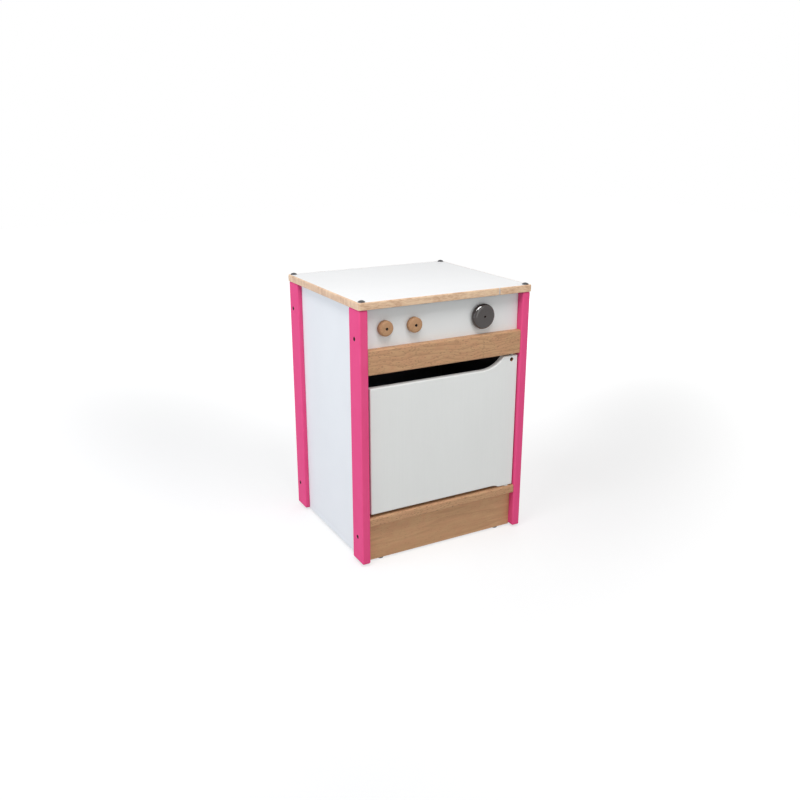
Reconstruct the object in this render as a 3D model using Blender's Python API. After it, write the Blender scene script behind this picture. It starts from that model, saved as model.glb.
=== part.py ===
"""Toy dishwasher: a wooden play unit on four posts, with a side-hung door, two knobs and a dial.

Metres, +Z up. The front faces -Y, and the origin lies on the floor under the middle of the unit.
"""

import math

import bmesh
import bpy
from mathutils import Vector

# Overall size: over the outer faces of the posts, and from the floor to the worktop
OVERALL_WIDTH = 0.4327
OVERALL_DEPTH = 0.3883
OVERALL_HEIGHT = 0.6080

# Fits: between touching pieces, between glued faces, and past the faces that a cut starts from
JOINT_GAP = 0.0003
GLUE_LINE = 0.0001
CUT_OVERRUN = 0.0020
SAME_POINT = 0.00001

# Boards: one stock for the top, control panel, back, base and plinth, with broken edges
BOARD_THICKNESS = 0.0160
BOARD_ARRIS = 0.0006
BOARD_FLOOR_GAP = 0.0039

# Posts
POST_THICKNESS = 0.0200
POST_DEPTH = 0.0520
POST_ROUNDING = 0.0035
POST_FLOOR_GAP = 0.0055

# Side panels, which stand in rebates along the posts
SIDE_THICKNESS = 0.0084
REBATE_REACH = 0.0120

# Top and its edge band
TOP_OVERHANG = 0.0022
TOP_CORNER = 0.0020
BAND_THICKNESS = 0.0030
BAND_ROUNDING = 0.0030
BAND_JOINT_FROM_RIGHT = 0.0882
BAND_JOINT_GAP = 0.0010

# Front, from the top down: control panel, rail, door opening, sill and plinth
PANEL_SETBACK = 0.0181
FASCIA_HEIGHT = 0.0880
RAIL_HEIGHT = 0.0550
RAIL_SETBACK = 0.0024
RAIL_TOP_ROUNDING = 0.0040
RAIL_FOOT_ROUNDING = 0.0030
SILL_TOP = 0.1155
SILL_THICKNESS = 0.0205
SILL_DEPTH = 0.0520
SILL_TOP_ROUNDING = 0.0050
SILL_FOOT_ROUNDING = 0.0030

# Back and base
BACK_SETBACK = 0.0120
CLEAT_WIDTH = 0.0200

# Door: gaps to what surrounds it, then its two lugs
DOOR_THICKNESS = 0.0160
DOOR_SETBACK = 0.0070
DOOR_FREE_GAP = 0.0057
DOOR_HINGE_GAP = 0.0020
DOOR_FINGER_GAP = 0.0310
DOOR_FOOT_GAP = 0.0065
DOOR_ROUNDING = 0.0020
DOOR_CORNER = 0.0030
UPPER_LUG_GAP = 0.0045
LOWER_LUG_GAP = 0.0012
HORN_LENGTH = 0.0360
HORN_SWEEP = 0.0580
HORN_SHOULDER = 0.0060
TOE_LENGTH = 0.0380
TOE_SWEEP = 0.0200
TOE_SHOULDER = 0.0100

# Door pivot
PIVOT_FROM_POST = 0.0193
PIVOT_SETBACK = 0.0121
PIN_RADIUS = 0.0025
PIN_BELOW_HOLE = 0.0010
LOWER_PIN_IN_LUG = 0.0200
ACCESS_HOLE_RADIUS = 0.0040
ACCESS_HOLE_DEPTH = 0.0125
ACCESS_HOLE_DROP = 0.0089
BUSH_WALL = 0.0012
BUSH_FLANGE = 0.0025
BUSH_FLANGE_THICKNESS = 0.0012
UPPER_BUSH_LENGTH = 0.0100
LOWER_BUSH_LENGTH = 0.0140

# Catch and strike plate
CATCH_HEIGHT = 0.2700
CATCH_LENGTH = 0.0400
CATCH_WIDTH = 0.0130
CATCH_DEPTH = 0.0220
CATCH_FLANGE = 0.0090
CATCH_FLANGE_THICKNESS = 0.0025
CATCH_ROUNDING = 0.0015
STRIKE_LENGTH = 0.0360
STRIKE_WIDTH = 0.0120
STRIKE_THICKNESS = 0.0012
STRIKE_FROM_EDGE = 0.0025
STRIKE_CORNER = 0.0020

# Knobs and dial: places on the control panel, then their forms
CONTROL_DROP = 0.0464
KNOB_LEFT_FROM_POST = 0.0462
KNOB_RIGHT_FROM_POST = 0.1168
DIAL_FROM_POST = 0.1009
KNOB_RADIUS = 0.0170
KNOB_THICKNESS = 0.0125
KNOB_FRONT_ROUNDING = 0.0050
KNOB_GROOVE_FROM_BACK = 0.0036
KNOB_GROOVE_WIDTH = 0.0016
KNOB_GROOVE_DEPTH = 0.0012
DIAL_RADIUS = 0.0287
DIAL_THICKNESS = 0.0154
DIAL_FRONT_ROUNDING = 0.0080
DIAL_BACK_ROUNDING = 0.0055
BACK_EDGE_ROUNDING = 0.0010
SPACER_RADIUS = 0.0065
SPACER_THICKNESS = 0.0008
WASHER_RADIUS = 0.0070
WASHER_THICKNESS = 0.0012
KNOB_BOLT_RADIUS = 0.0022
KNOB_BOLT_HEAD_RADIUS = 0.0044
KNOB_BOLT_HEAD = 0.0036
KNOB_BOLT_BELOW_FACE = 0.0040

# Post bolts
BOLT_HEAD_RADIUS = 0.0037
BOLT_HEAD = 0.0050
BOLT_SUNK = 0.0010
BOLT_RADIUS = 0.0025
BOLT_LENGTH = 0.0500
UPPER_BOLT_DROP = 0.0645
LOWER_BOLT_HEIGHT = 0.0665
SOCKET_APOTHEM = 0.0018
SOCKET_DEPTH = 0.0024

# Top screws and their caps
CAP_FROM_SIDE = 0.0093
CAP_FROM_END = 0.0082
CAP_RADIUS = 0.0078
CAP_RIM = 0.0008
CAP_HEIGHT = 0.0042
CAP_SEAT_DEPTH = 0.0002
TOP_SCREW_HEAD_RADIUS = 0.0040
TOP_SCREW_HEAD = 0.0030
TOP_SCREW_RADIUS = 0.0022
TOP_SCREW_LENGTH = 0.0550

# Rail screws
RAIL_SCREW_FROM_POST = 0.0600
RAIL_SCREW_HEAD_RADIUS = 0.0040
RAIL_SCREW_HEAD = 0.0024
RAIL_SCREW_RADIUS = 0.0018
RAIL_SCREW_BITE = 0.0110

# Glides
GLIDE_FROM_POST = 0.0369
GLIDE_RADIUS = 0.0070
GLIDE_FOOT_ROUNDING = 0.0010
GLIDE_NAIL_RADIUS = 0.0012
GLIDE_NAIL_LENGTH = 0.0180

# Facets
CHORD_ERROR = 0.0001
LARGEST_ERROR_SHARE = 0.5
SHARP_ANGLE = math.radians(35)
RIM_ANGLE = math.radians(60)
SCREW_SEGMENTS = 12
BUSH_SEGMENTS = 18
KNOB_SEGMENTS = 36
DIAL_SEGMENTS = 48
CAP_SEGMENTS = 20
POST_ROUNDING_STEPS = 3
DOOR_ROUNDING_STEPS = 3
BAND_CORNER_STEPS = 4
HEX_SIDES = 6

# Planes and heights that several pieces share
HALF_WIDTH = OVERALL_WIDTH / 2
HALF_DEPTH = OVERALL_DEPTH / 2
POST_FRONT = -HALF_DEPTH
POST_INNER = HALF_WIDTH - POST_THICKNESS
BOARD_END = POST_INNER - JOINT_GAP
SIDE_INNER = POST_INNER + JOINT_GAP
SIDE_OUTER = SIDE_INNER + SIDE_THICKNESS
UNDER_TOP = OVERALL_HEIGHT - BOARD_THICKNESS
BOARD_HEAD = UNDER_TOP - JOINT_GAP
PANEL_FRONT = POST_FRONT + PANEL_SETBACK
PANEL_BACK = PANEL_FRONT + BOARD_THICKNESS
RAIL_FRONT = POST_FRONT + RAIL_SETBACK
RAIL_TOP = UNDER_TOP - FASCIA_HEIGHT
RAIL_FOOT = RAIL_TOP - RAIL_HEIGHT
BACK_REAR = HALF_DEPTH - BACK_SETBACK
BACK_FRONT = BACK_REAR - BOARD_THICKNESS
DOOR_FRONT = POST_FRONT + DOOR_SETBACK
DOOR_BACK = DOOR_FRONT + DOOR_THICKNESS
LUG_TOP = RAIL_FOOT - UPPER_LUG_GAP
LUG_FOOT = SILL_TOP + LOWER_LUG_GAP
PIVOT_X = POST_INNER - PIVOT_FROM_POST
PIVOT_Y = POST_FRONT + PIVOT_SETBACK
ACCESS_HOLE_Z = LUG_TOP - ACCESS_HOLE_DROP
CONTROL_Z = UNDER_TOP - CONTROL_DROP

# Ways to lay a drawn outline: flat, upright facing the front, and as a section that runs along X
FLAT = (0, 0, 0)
UPRIGHT = (math.radians(90), 0, 0)
ALONG_X = (math.radians(90), 0, math.radians(90))

# Directions in which turned pieces point
TO_FRONT = (0, -1, 0)
TO_REAR = (0, 1, 0)

CORNERS = (
    ("front_left", -1, -1),
    ("front_right", 1, -1),
    ("rear_left", -1, 1),
    ("rear_right", 1, 1),
)


def finish(name, srgb, roughness, metallic=0.0):
    """Make a finish from a colour given as screen values from 0 to 255."""
    material = bpy.data.materials.new(name)
    material.use_nodes = True
    shader = material.node_tree.nodes["Principled BSDF"]
    linear = [((value / 255 + 0.055) / 1.055) ** 2.4 for value in srgb]
    shader.inputs["Base Color"].default_value = (*linear, 1)
    shader.inputs["Roughness"].default_value = roughness
    shader.inputs["Metallic"].default_value = metallic
    material.diffuse_color = (*linear, 1)
    return material


def add_piece(name, shape, material, location, rotation=FLAT):
    """Turn a bmesh into a named object at its place."""
    mesh = bpy.data.meshes.new(name)
    shape.to_mesh(mesh)
    shape.free()
    if material is not None:
        mesh.materials.append(material)
    mesh.shade_smooth()
    mesh.set_sharp_from_angle(angle=SHARP_ANGLE)
    piece = bpy.data.objects.new(name, mesh)
    piece.location = location
    piece.rotation_euler = rotation
    bpy.context.scene.collection.objects.link(piece)
    return piece


def add_cutter(name, shape, location, rotation=FLAT):
    """Add a shape that only cuts others."""
    cutter = add_piece(name, shape, None, location, rotation)
    cutter.hide_render = True
    cutter.display_type = "WIRE"
    return cutter


def cut(piece, cutter):
    """Take the cutter's shape out of a piece."""
    boolean = piece.modifiers.new(cutter.name, "BOOLEAN")
    boolean.operation = "DIFFERENCE"
    boolean.object = cutter


def round_edges(piece, radius, steps, angle=RIM_ANGLE):
    """Round the edges of a piece that are sharper than an angle."""
    bevel = piece.modifiers.new("rounded_edges", "BEVEL")
    bevel.width = radius
    bevel.segments = steps
    bevel.limit_method = "ANGLE"
    bevel.angle_limit = angle


def box_shape(low, high):
    """A box between two corners, centred on the origin."""
    size = Vector(high) - Vector(low)
    shape = bmesh.new()
    bmesh.ops.create_cube(shape, size=1)
    bmesh.ops.scale(shape, vec=size, verts=shape.verts)
    return shape


def middle(low, high):
    """The point halfway between two corners."""
    return (Vector(low) + Vector(high)) / 2


def board(name, low, high, material, rounding=BOARD_ARRIS, steps=1):
    """A board between two corners, with its edges rounded or just broken."""
    piece = add_piece(name, box_shape(low, high), material, middle(low, high))
    round_edges(piece, rounding, steps)
    return piece


def filleted(corners):
    """The points of a closed outline whose corners are (x, y, radius)."""
    points = []
    for index, (x, y, radius) in enumerate(corners):
        corner = Vector((x, y))
        to_last = (Vector(corners[index - 1][:2]) - corner).normalized()
        to_next = (Vector(corners[(index + 1) % len(corners)][:2]) - corner).normalized()
        if radius == 0:
            arc = [corner]
        else:
            half_angle = to_last.angle(to_next) / 2
            centre = corner + (to_last + to_next).normalized() * radius / math.sin(half_angle)
            arc = arc_points(centre, corner + to_last * radius / math.tan(half_angle),
                             corner + to_next * radius / math.tan(half_angle))
        points += [point for point in arc if not points or (point - points[-1]).length > SAME_POINT]
    return points


def arc_points(centre, start, end):
    """Points along the short arc between two points round a centre."""
    radius = (start - centre).length
    start_angle = math.atan2(start.y - centre.y, start.x - centre.x)
    turn = math.atan2(end.y - centre.y, end.x - centre.x) - start_angle
    turn = (turn + math.pi) % (2 * math.pi) - math.pi
    widest_step = 2 * math.acos(1 - min(CHORD_ERROR / radius, LARGEST_ERROR_SHARE))
    steps = math.ceil(abs(turn) / widest_step)
    angles = [start_angle + turn * step / steps for step in range(steps + 1)]
    return [centre + Vector((math.cos(angle), math.sin(angle))) * radius for angle in angles]


def s_bend(start, end, end_radius):
    """Two (x, y, radius) corners that join two level edges in one smooth S."""
    run = end[0] - start[0]
    rise = end[1] - start[1]
    half_slope = math.atan2(abs(rise), abs(run))
    start_radius = abs(run) / math.sin(2 * half_slope) - end_radius
    first_x = start[0] + math.copysign(start_radius * math.tan(half_slope), run)
    second_x = end[0] - math.copysign(end_radius * math.tan(half_slope), run)
    return [(first_x, start[1], start_radius), (second_x, end[1], end_radius)]


def extruded(points, low, high):
    """Extrude a closed outline along Z between two heights."""
    shape = bmesh.new()
    base = shape.faces.new([shape.verts.new((*point, low)) for point in points])
    raised = bmesh.ops.extrude_face_region(shape, geom=[base])["geom"]
    top = [item for item in raised if isinstance(item, bmesh.types.BMVert)]
    bmesh.ops.translate(shape, vec=(0, 0, high - low), verts=top)
    bmesh.ops.recalc_face_normals(shape, faces=shape.faces)
    return shape


def ring_point(radius, height, angle, sides):
    """A point on a circle, or on a polygon whose flats lie at that radius."""
    if sides:
        side_angle = 2 * math.pi / sides
        radius = radius / math.cos(angle % side_angle - side_angle / 2)
    return (radius * math.cos(angle), radius * math.sin(angle), height)


def turned(profile, segments, bored=False):
    """Turn a profile of (radius, height) or (radius, height, sides) points round Z.

    A bored profile closes on itself. Any other is closed by a flat face at each end.
    """
    shape = bmesh.new()
    rings = []
    for radius, height, *sides in profile:
        angles = [2 * math.pi * step / segments for step in range(segments)]
        ring = [ring_point(radius, height, angle, sides[0] if sides else 0) for angle in angles]
        rings.append([shape.verts.new(point) for point in ring])
    for ring, following in zip(rings, rings[1:] + rings[:1] if bored else rings[1:]):
        for step in range(segments):
            after = (step + 1) % segments
            shape.faces.new((ring[step], ring[after], following[after], following[step]))
    if not bored:
        shape.faces.new(rings[0])
        shape.faces.new(rings[-1])
    bmesh.ops.recalc_face_normals(shape, faces=shape.faces)
    return shape


def pointing(direction):
    """The rotation that turns Z to a direction."""
    return Vector(direction).to_track_quat("Z", "Y").to_euler()


def disc_profile(inner, outer, low, high):
    """A flat ring's section."""
    return [(inner, low), (outer, low), (outer, high), (inner, high)]


def screw_profile(head_radius, head_top, head_foot, radius, tip):
    """A screw with a hexagon socket, from its socket down to its tip."""
    socket_floor = max(head_top - SOCKET_DEPTH, head_foot)
    return [
        (SOCKET_APOTHEM, socket_floor, HEX_SIDES),
        (SOCKET_APOTHEM, head_top, HEX_SIDES),
        (head_radius, head_top),
        (head_radius, head_foot),
        (radius, head_foot),
        (radius, tip),
    ]


def hole_profile(head_radius, head_foot, radius, tip, mouth=CUT_OVERRUN):
    """The hole for a sunk screw, a joint gap larger all round, whose mouth is open above its face."""
    return [
        (head_radius + JOINT_GAP, mouth),
        (head_radius + JOINT_GAP, head_foot - JOINT_GAP),
        (radius + JOINT_GAP, head_foot - JOINT_GAP),
        (radius + JOINT_GAP, tip - JOINT_GAP),
    ]


def bore_profile(radius, low, high):
    """A plain round hole between two heights."""
    return [(radius, low), (radius, high)]


def posts(material):
    """Four upright posts, each rebated for the side panel that stands against it."""
    made = {}
    for corner, x_side, y_side in CORNERS:
        inner_y = HALF_DEPTH - POST_DEPTH
        low_x, high_x = sorted((x_side * POST_INNER, x_side * HALF_WIDTH))
        low_y, high_y = sorted((y_side * inner_y, y_side * HALF_DEPTH))
        low = (low_x, low_y, POST_FLOOR_GAP)
        high = (high_x, high_y, BOARD_HEAD)
        piece = board("post_" + corner, low, high, material, POST_ROUNDING, POST_ROUNDING_STEPS)
        low_x, high_x = sorted((x_side * (POST_INNER - CUT_OVERRUN), x_side * (SIDE_OUTER + JOINT_GAP)))
        low_y, high_y = sorted((y_side * (inner_y - CUT_OVERRUN), y_side * (inner_y + REBATE_REACH)))
        low = (low_x, low_y, POST_FLOOR_GAP - CUT_OVERRUN)
        high = (high_x, high_y, BOARD_HEAD + CUT_OVERRUN)
        cut(piece, add_cutter("rebate_" + corner, box_shape(low, high), middle(low, high)))
        made[corner] = piece
    return made


def side_panels(material):
    """Two thin panels whose long edges lie in the posts' rebates."""
    half_y = HALF_DEPTH - POST_DEPTH + REBATE_REACH - JOINT_GAP
    for side, x_side in (("left", -1), ("right", 1)):
        low_x, high_x = sorted((x_side * SIDE_INNER, x_side * SIDE_OUTER))
        board("side_panel_" + side, (low_x, -half_y, BOARD_FLOOR_GAP), (high_x, half_y, BOARD_HEAD), material)


def back_panel(material):
    """The full-height board between the rear posts."""
    return board("back_panel", (-BOARD_END, BACK_FRONT, BOARD_FLOOR_GAP), (BOARD_END, BACK_REAR, BOARD_HEAD),
                 material)


def base_panel(board_material, cleat_material):
    """The cavity's floor behind the sill, and the two cleats that carry it."""
    front = RAIL_FRONT + SILL_DEPTH + JOINT_GAP
    rear = BACK_FRONT - JOINT_GAP
    underside = SILL_TOP - BOARD_THICKNESS
    board("base_panel", (-BOARD_END, front, underside), (BOARD_END, rear, SILL_TOP), board_material)
    cleat_top = underside - JOINT_GAP
    for side, x_side in (("left", -1), ("right", 1)):
        low_x, high_x = sorted((x_side * BOARD_END, x_side * (BOARD_END - CLEAT_WIDTH)))
        board("base_cleat_" + side, (low_x, front, cleat_top - CLEAT_WIDTH), (high_x, rear, cleat_top),
              cleat_material)


def top_board(material):
    """The worktop board inside its edge band."""
    inset = BAND_THICKNESS + GLUE_LINE
    half_x = HALF_WIDTH + TOP_OVERHANG - inset
    half_y = HALF_DEPTH + TOP_OVERHANG - inset
    corners = [(x * half_x, y * half_y, TOP_CORNER) for x, y in ((-1, -1), (1, -1), (1, 1), (-1, 1))]
    shape = extruded(filleted(corners), UNDER_TOP, OVERALL_HEIGHT)
    return add_piece("top_board", shape, material, (0, 0, 0))


def band_stations():
    """Places along the top board's edge, each with its outward direction, from joint to joint."""
    half_x = HALF_WIDTH + TOP_OVERHANG - BAND_THICKNESS
    half_y = HALF_DEPTH + TOP_OVERHANG - BAND_THICKNESS
    joint_x = HALF_WIDTH + TOP_OVERHANG - BAND_JOINT_FROM_RIGHT
    outwards = Vector((0, -1))
    stations = [(Vector((joint_x + BAND_JOINT_GAP / 2, -half_y)), outwards)]
    for quarter, (x_side, y_side) in enumerate(((1, -1), (1, 1), (-1, 1), (-1, -1))):
        centre = Vector((x_side * (half_x - TOP_CORNER), y_side * (half_y - TOP_CORNER)))
        for step in range(BAND_CORNER_STEPS + 1):
            angle = (quarter - 1 + step / BAND_CORNER_STEPS) * math.pi / 2
            direction = Vector((math.cos(angle), math.sin(angle)))
            stations.append((centre + direction * TOP_CORNER, direction))
    stations.append((Vector((joint_x - BAND_JOINT_GAP / 2, -half_y)), outwards))
    return stations


def top_edge_band(material):
    """One rounded strip swept round the worktop, with its two ends butted in front."""
    section = filleted([
        (0, UNDER_TOP, 0),
        (BAND_THICKNESS, UNDER_TOP, BAND_ROUNDING),
        (BAND_THICKNESS, OVERALL_HEIGHT, BAND_ROUNDING),
        (0, OVERALL_HEIGHT, 0),
    ])
    shape = bmesh.new()
    loops = []
    for place, outwards in band_stations():
        points = [place + outwards * proud for proud, height in section]
        loops.append([shape.verts.new((*point, height)) for point, (proud, height) in zip(points, section)])
    for loop, following in zip(loops, loops[1:]):
        for index in range(len(section)):
            after = (index + 1) % len(section)
            shape.faces.new((loop[index], loop[after], following[after], following[index]))
    shape.faces.new(loops[0])
    shape.faces.new(loops[-1])
    bmesh.ops.recalc_face_normals(shape, faces=shape.faces)
    return add_piece("top_edge_band", shape, material, (0, 0, 0))


def control_panel(material):
    """The upright board that carries the knobs, down to the foot of the rail."""
    return board("control_panel", (-BOARD_END, PANEL_FRONT, RAIL_FOOT), (BOARD_END, PANEL_BACK, BOARD_HEAD),
                 material)


def rounded_rail(name, front, rear, foot, top, foot_rounding, top_rounding, material):
    """A solid wood rail between the posts, with both its front edges rounded."""
    section = filleted([
        (front, foot, foot_rounding),
        (rear, foot, BOARD_ARRIS),
        (rear, top, BOARD_ARRIS),
        (front, top, top_rounding),
    ])
    return add_piece(name, extruded(section, -BOARD_END, BOARD_END), material, (0, 0, 0), ALONG_X)


def front_rail(material):
    """The rail glued and screwed to the face of the control panel."""
    return rounded_rail("front_rail", RAIL_FRONT, PANEL_FRONT - GLUE_LINE, RAIL_FOOT, RAIL_TOP,
                        RAIL_FOOT_ROUNDING, RAIL_TOP_ROUNDING, material)


def sill(material):
    """The rail that lies flat on the plinth, under the door."""
    return rounded_rail("sill", RAIL_FRONT, RAIL_FRONT + SILL_DEPTH, SILL_TOP - SILL_THICKNESS, SILL_TOP,
                        SILL_FOOT_ROUNDING, SILL_TOP_ROUNDING, material)


def plinth(material):
    """The recessed board between the front posts, under the sill."""
    return board("plinth", (-BOARD_END, PANEL_FRONT, BOARD_FLOOR_GAP),
                 (BOARD_END, PANEL_BACK, SILL_TOP - SILL_THICKNESS - JOINT_GAP), material)


def door_outline():
    """The door seen from the front, round the pivot axis and up from its lower lug."""
    left = -POST_INNER + DOOR_FREE_GAP - PIVOT_X
    right = POST_INNER - DOOR_HINGE_GAP - PIVOT_X
    foot = DOOR_FOOT_GAP - LOWER_LUG_GAP
    head = RAIL_FOOT - DOOR_FINGER_GAP - LUG_FOOT
    lug_head = LUG_TOP - LUG_FOOT
    toe = s_bend((right - TOE_LENGTH - TOE_SWEEP, foot), (right - TOE_LENGTH, 0), TOE_SHOULDER)
    horn = s_bend((right - HORN_LENGTH - HORN_SWEEP, head), (right - HORN_LENGTH, lug_head), HORN_SHOULDER)
    return filleted([
        (left, foot, DOOR_CORNER),
        *toe,
        (right, 0, DOOR_CORNER),
        (right, lug_head, DOOR_CORNER),
        *reversed(horn),
        (left, head, DOOR_CORNER),
    ])


def door(material):
    """The door, with its origin on the pivot axis at the foot of the lower lug."""
    shape = extruded(door_outline(), PIVOT_Y - DOOR_BACK, PIVOT_Y - DOOR_FRONT)
    piece = add_piece("door", shape, material, (PIVOT_X, PIVOT_Y, LUG_FOOT), UPRIGHT)
    round_edges(piece, DOOR_ROUNDING, DOOR_ROUNDING_STEPS)
    hole = bore_profile(ACCESS_HOLE_RADIUS, -ACCESS_HOLE_DEPTH, CUT_OVERRUN)
    cut(piece, add_cutter("access_hole", turned(hole, BUSH_SEGMENTS), (PIVOT_X, DOOR_FRONT, ACCESS_HOLE_Z),
                          pointing(TO_FRONT)))
    return piece


def pivot(door_piece, rail_piece, sill_piece, pin_material, bush_material):
    """Two pins fixed in the door's lugs, which turn in flanged bushes in the rail and the sill."""
    bush_bore = PIN_RADIUS + JOINT_GAP
    bush_radius = bush_bore + BUSH_WALL
    flange_radius = bush_radius + BUSH_FLANGE
    seat_radius = bush_radius + JOINT_GAP

    upper_foot = ACCESS_HOLE_Z - ACCESS_HOLE_RADIUS - PIN_BELOW_HOLE
    upper_head = RAIL_FOOT + UPPER_BUSH_LENGTH - JOINT_GAP
    lower_foot = SILL_TOP - LOWER_BUSH_LENGTH + JOINT_GAP
    lower_head = LUG_FOOT + LOWER_PIN_IN_LUG
    for name, foot, head, bore_foot, bore_head in (
        ("upper", upper_foot, upper_head, upper_foot - JOINT_GAP, LUG_TOP + CUT_OVERRUN),
        ("lower", lower_foot, lower_head, LUG_FOOT - CUT_OVERRUN, lower_head + JOINT_GAP),
    ):
        add_piece("pivot_pin_" + name, turned(bore_profile(PIN_RADIUS, 0, head - foot), BUSH_SEGMENTS),
                  pin_material, (PIVOT_X, PIVOT_Y, foot))
        bore = turned(bore_profile(bush_bore, 0, bore_head - bore_foot), BUSH_SEGMENTS)
        cut(door_piece, add_cutter("pin_bore_" + name, bore, (PIVOT_X, PIVOT_Y, bore_foot)))

    # The upper bush hangs its flange under the rail, and the lower one's flange carries the door
    lower_flange = LOWER_LUG_GAP - 2 * JOINT_GAP
    for name, carrier, level, inwards, length, flange in (
        ("upper", rail_piece, RAIL_FOOT, 1, UPPER_BUSH_LENGTH, BUSH_FLANGE_THICKNESS),
        ("lower", sill_piece, SILL_TOP, -1, LOWER_BUSH_LENGTH, lower_flange),
    ):
        seat = -inwards * JOINT_GAP
        profile = [
            (bush_bore, inwards * length),
            (bush_radius, inwards * length),
            (bush_radius, seat),
            (flange_radius, seat),
            (flange_radius, seat - inwards * flange),
            (bush_bore, seat - inwards * flange),
        ]
        add_piece("pivot_bush_" + name, turned(profile, BUSH_SEGMENTS, bored=True), bush_material,
                  (PIVOT_X, PIVOT_Y, level))
        hole = sorted((-inwards * CUT_OVERRUN, inwards * (length + JOINT_GAP)))
        cut(carrier, add_cutter("bush_seat_" + name, turned(bore_profile(seat_radius, *hole), BUSH_SEGMENTS),
                                (PIVOT_X, PIVOT_Y, level)))


def catch(material):
    """The magnetic catch on the inner side of the left front post."""
    half = CATCH_LENGTH / 2
    outline = filleted([
        (-half - CATCH_FLANGE, 0, 0),
        (half + CATCH_FLANGE, 0, 0),
        (half + CATCH_FLANGE, CATCH_FLANGE_THICKNESS, 0),
        (half, CATCH_FLANGE_THICKNESS, CATCH_ROUNDING),
        (half, CATCH_WIDTH, CATCH_ROUNDING),
        (-half, CATCH_WIDTH, CATCH_ROUNDING),
        (-half, CATCH_FLANGE_THICKNESS, CATCH_ROUNDING),
        (-half - CATCH_FLANGE, CATCH_FLANGE_THICKNESS, 0),
    ])
    front = DOOR_BACK + GLUE_LINE + STRIKE_THICKNESS + JOINT_GAP
    on_edge = (math.radians(90), math.radians(90), 0)
    return add_piece("door_catch", extruded(outline, -CATCH_DEPTH, 0), material,
                     (-BOARD_END, front, CATCH_HEIGHT), on_edge)


def strike_plate(material):
    """The thin steel plate on the door's back that meets the catch."""
    half_x = STRIKE_WIDTH / 2
    half_z = STRIKE_LENGTH / 2
    corners = [(x * half_x, z * half_z, STRIKE_CORNER) for x, z in ((-1, -1), (1, -1), (1, 1), (-1, 1))]
    place = (-POST_INNER + DOOR_FREE_GAP + STRIKE_FROM_EDGE + half_x, DOOR_BACK + GLUE_LINE, CATCH_HEIGHT)
    shape = extruded(filleted(corners), -STRIKE_THICKNESS, 0)
    return add_piece("strike_plate", shape, material, place, UPRIGHT)


def rounded_section(bore, radius, thickness, front_rounding, back_rounding, groove=()):
    """Half the section of a bored knob, from the back of its bore round to the front of its bore."""
    return [tuple(point) for point in filleted([
        (bore, 0, 0),
        (radius, 0, back_rounding),
        *groove,
        (radius, thickness, front_rounding),
        (bore, thickness, 0),
    ])]


def knob_section():
    """The small knob: a groove round its side sets a thin back flange apart from the rounded grip."""
    groove_floor = KNOB_RADIUS - KNOB_GROOVE_DEPTH
    groove_head = KNOB_GROOVE_FROM_BACK + KNOB_GROOVE_WIDTH
    groove = [
        (KNOB_RADIUS, KNOB_GROOVE_FROM_BACK, 0),
        (groove_floor, KNOB_GROOVE_FROM_BACK, 0),
        (groove_floor, groove_head, 0),
        (KNOB_RADIUS, groove_head, 0),
    ]
    return rounded_section(KNOB_BOLT_RADIUS + JOINT_GAP, KNOB_RADIUS, KNOB_THICKNESS, KNOB_FRONT_ROUNDING,
                           BACK_EDGE_ROUNDING, groove)


def dial_section():
    """The large dial: a plain thick disc, rounded more in front than behind."""
    return rounded_section(KNOB_BOLT_RADIUS + JOINT_GAP, DIAL_RADIUS, DIAL_THICKNESS, DIAL_FRONT_ROUNDING,
                           DIAL_BACK_ROUNDING)


def turning_control(panel, name, x, section, segments, thickness, material, bolt_material, washer_material):
    """A knob or dial on its own bolt, which runs through the control panel from behind."""
    bolt_bore = KNOB_BOLT_RADIUS + JOINT_GAP
    knob_back = PANEL_FRONT - SPACER_THICKNESS - 2 * JOINT_GAP
    add_piece(name, turned(section, segments, bored=True), material, (x, knob_back, CONTROL_Z),
              pointing(TO_FRONT))
    spacer = disc_profile(bolt_bore, SPACER_RADIUS, JOINT_GAP, JOINT_GAP + SPACER_THICKNESS)
    add_piece(name + "_spacer", turned(spacer, CAP_SEGMENTS, bored=True), washer_material,
              (x, PANEL_FRONT, CONTROL_Z), pointing(TO_FRONT))
    washer = disc_profile(bolt_bore, WASHER_RADIUS, JOINT_GAP, JOINT_GAP + WASHER_THICKNESS)
    add_piece(name + "_washer", turned(washer, CAP_SEGMENTS, bored=True), washer_material,
              (x, PANEL_BACK, CONTROL_Z), pointing(TO_REAR))
    head_foot = WASHER_THICKNESS + 2 * JOINT_GAP
    tip = knob_back - thickness + KNOB_BOLT_BELOW_FACE - PANEL_BACK
    bolt = screw_profile(KNOB_BOLT_HEAD_RADIUS, head_foot + KNOB_BOLT_HEAD, head_foot, KNOB_BOLT_RADIUS, tip)
    add_piece(name + "_bolt", turned(bolt, SCREW_SEGMENTS), bolt_material, (x, PANEL_BACK, CONTROL_Z),
              pointing(TO_REAR))
    bore = turned(bore_profile(bolt_bore, -BOARD_THICKNESS - CUT_OVERRUN, CUT_OVERRUN), SCREW_SEGMENTS)
    cut(panel, add_cutter(name + "_bore", bore, (x, PANEL_BACK, CONTROL_Z), pointing(TO_REAR)))


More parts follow.
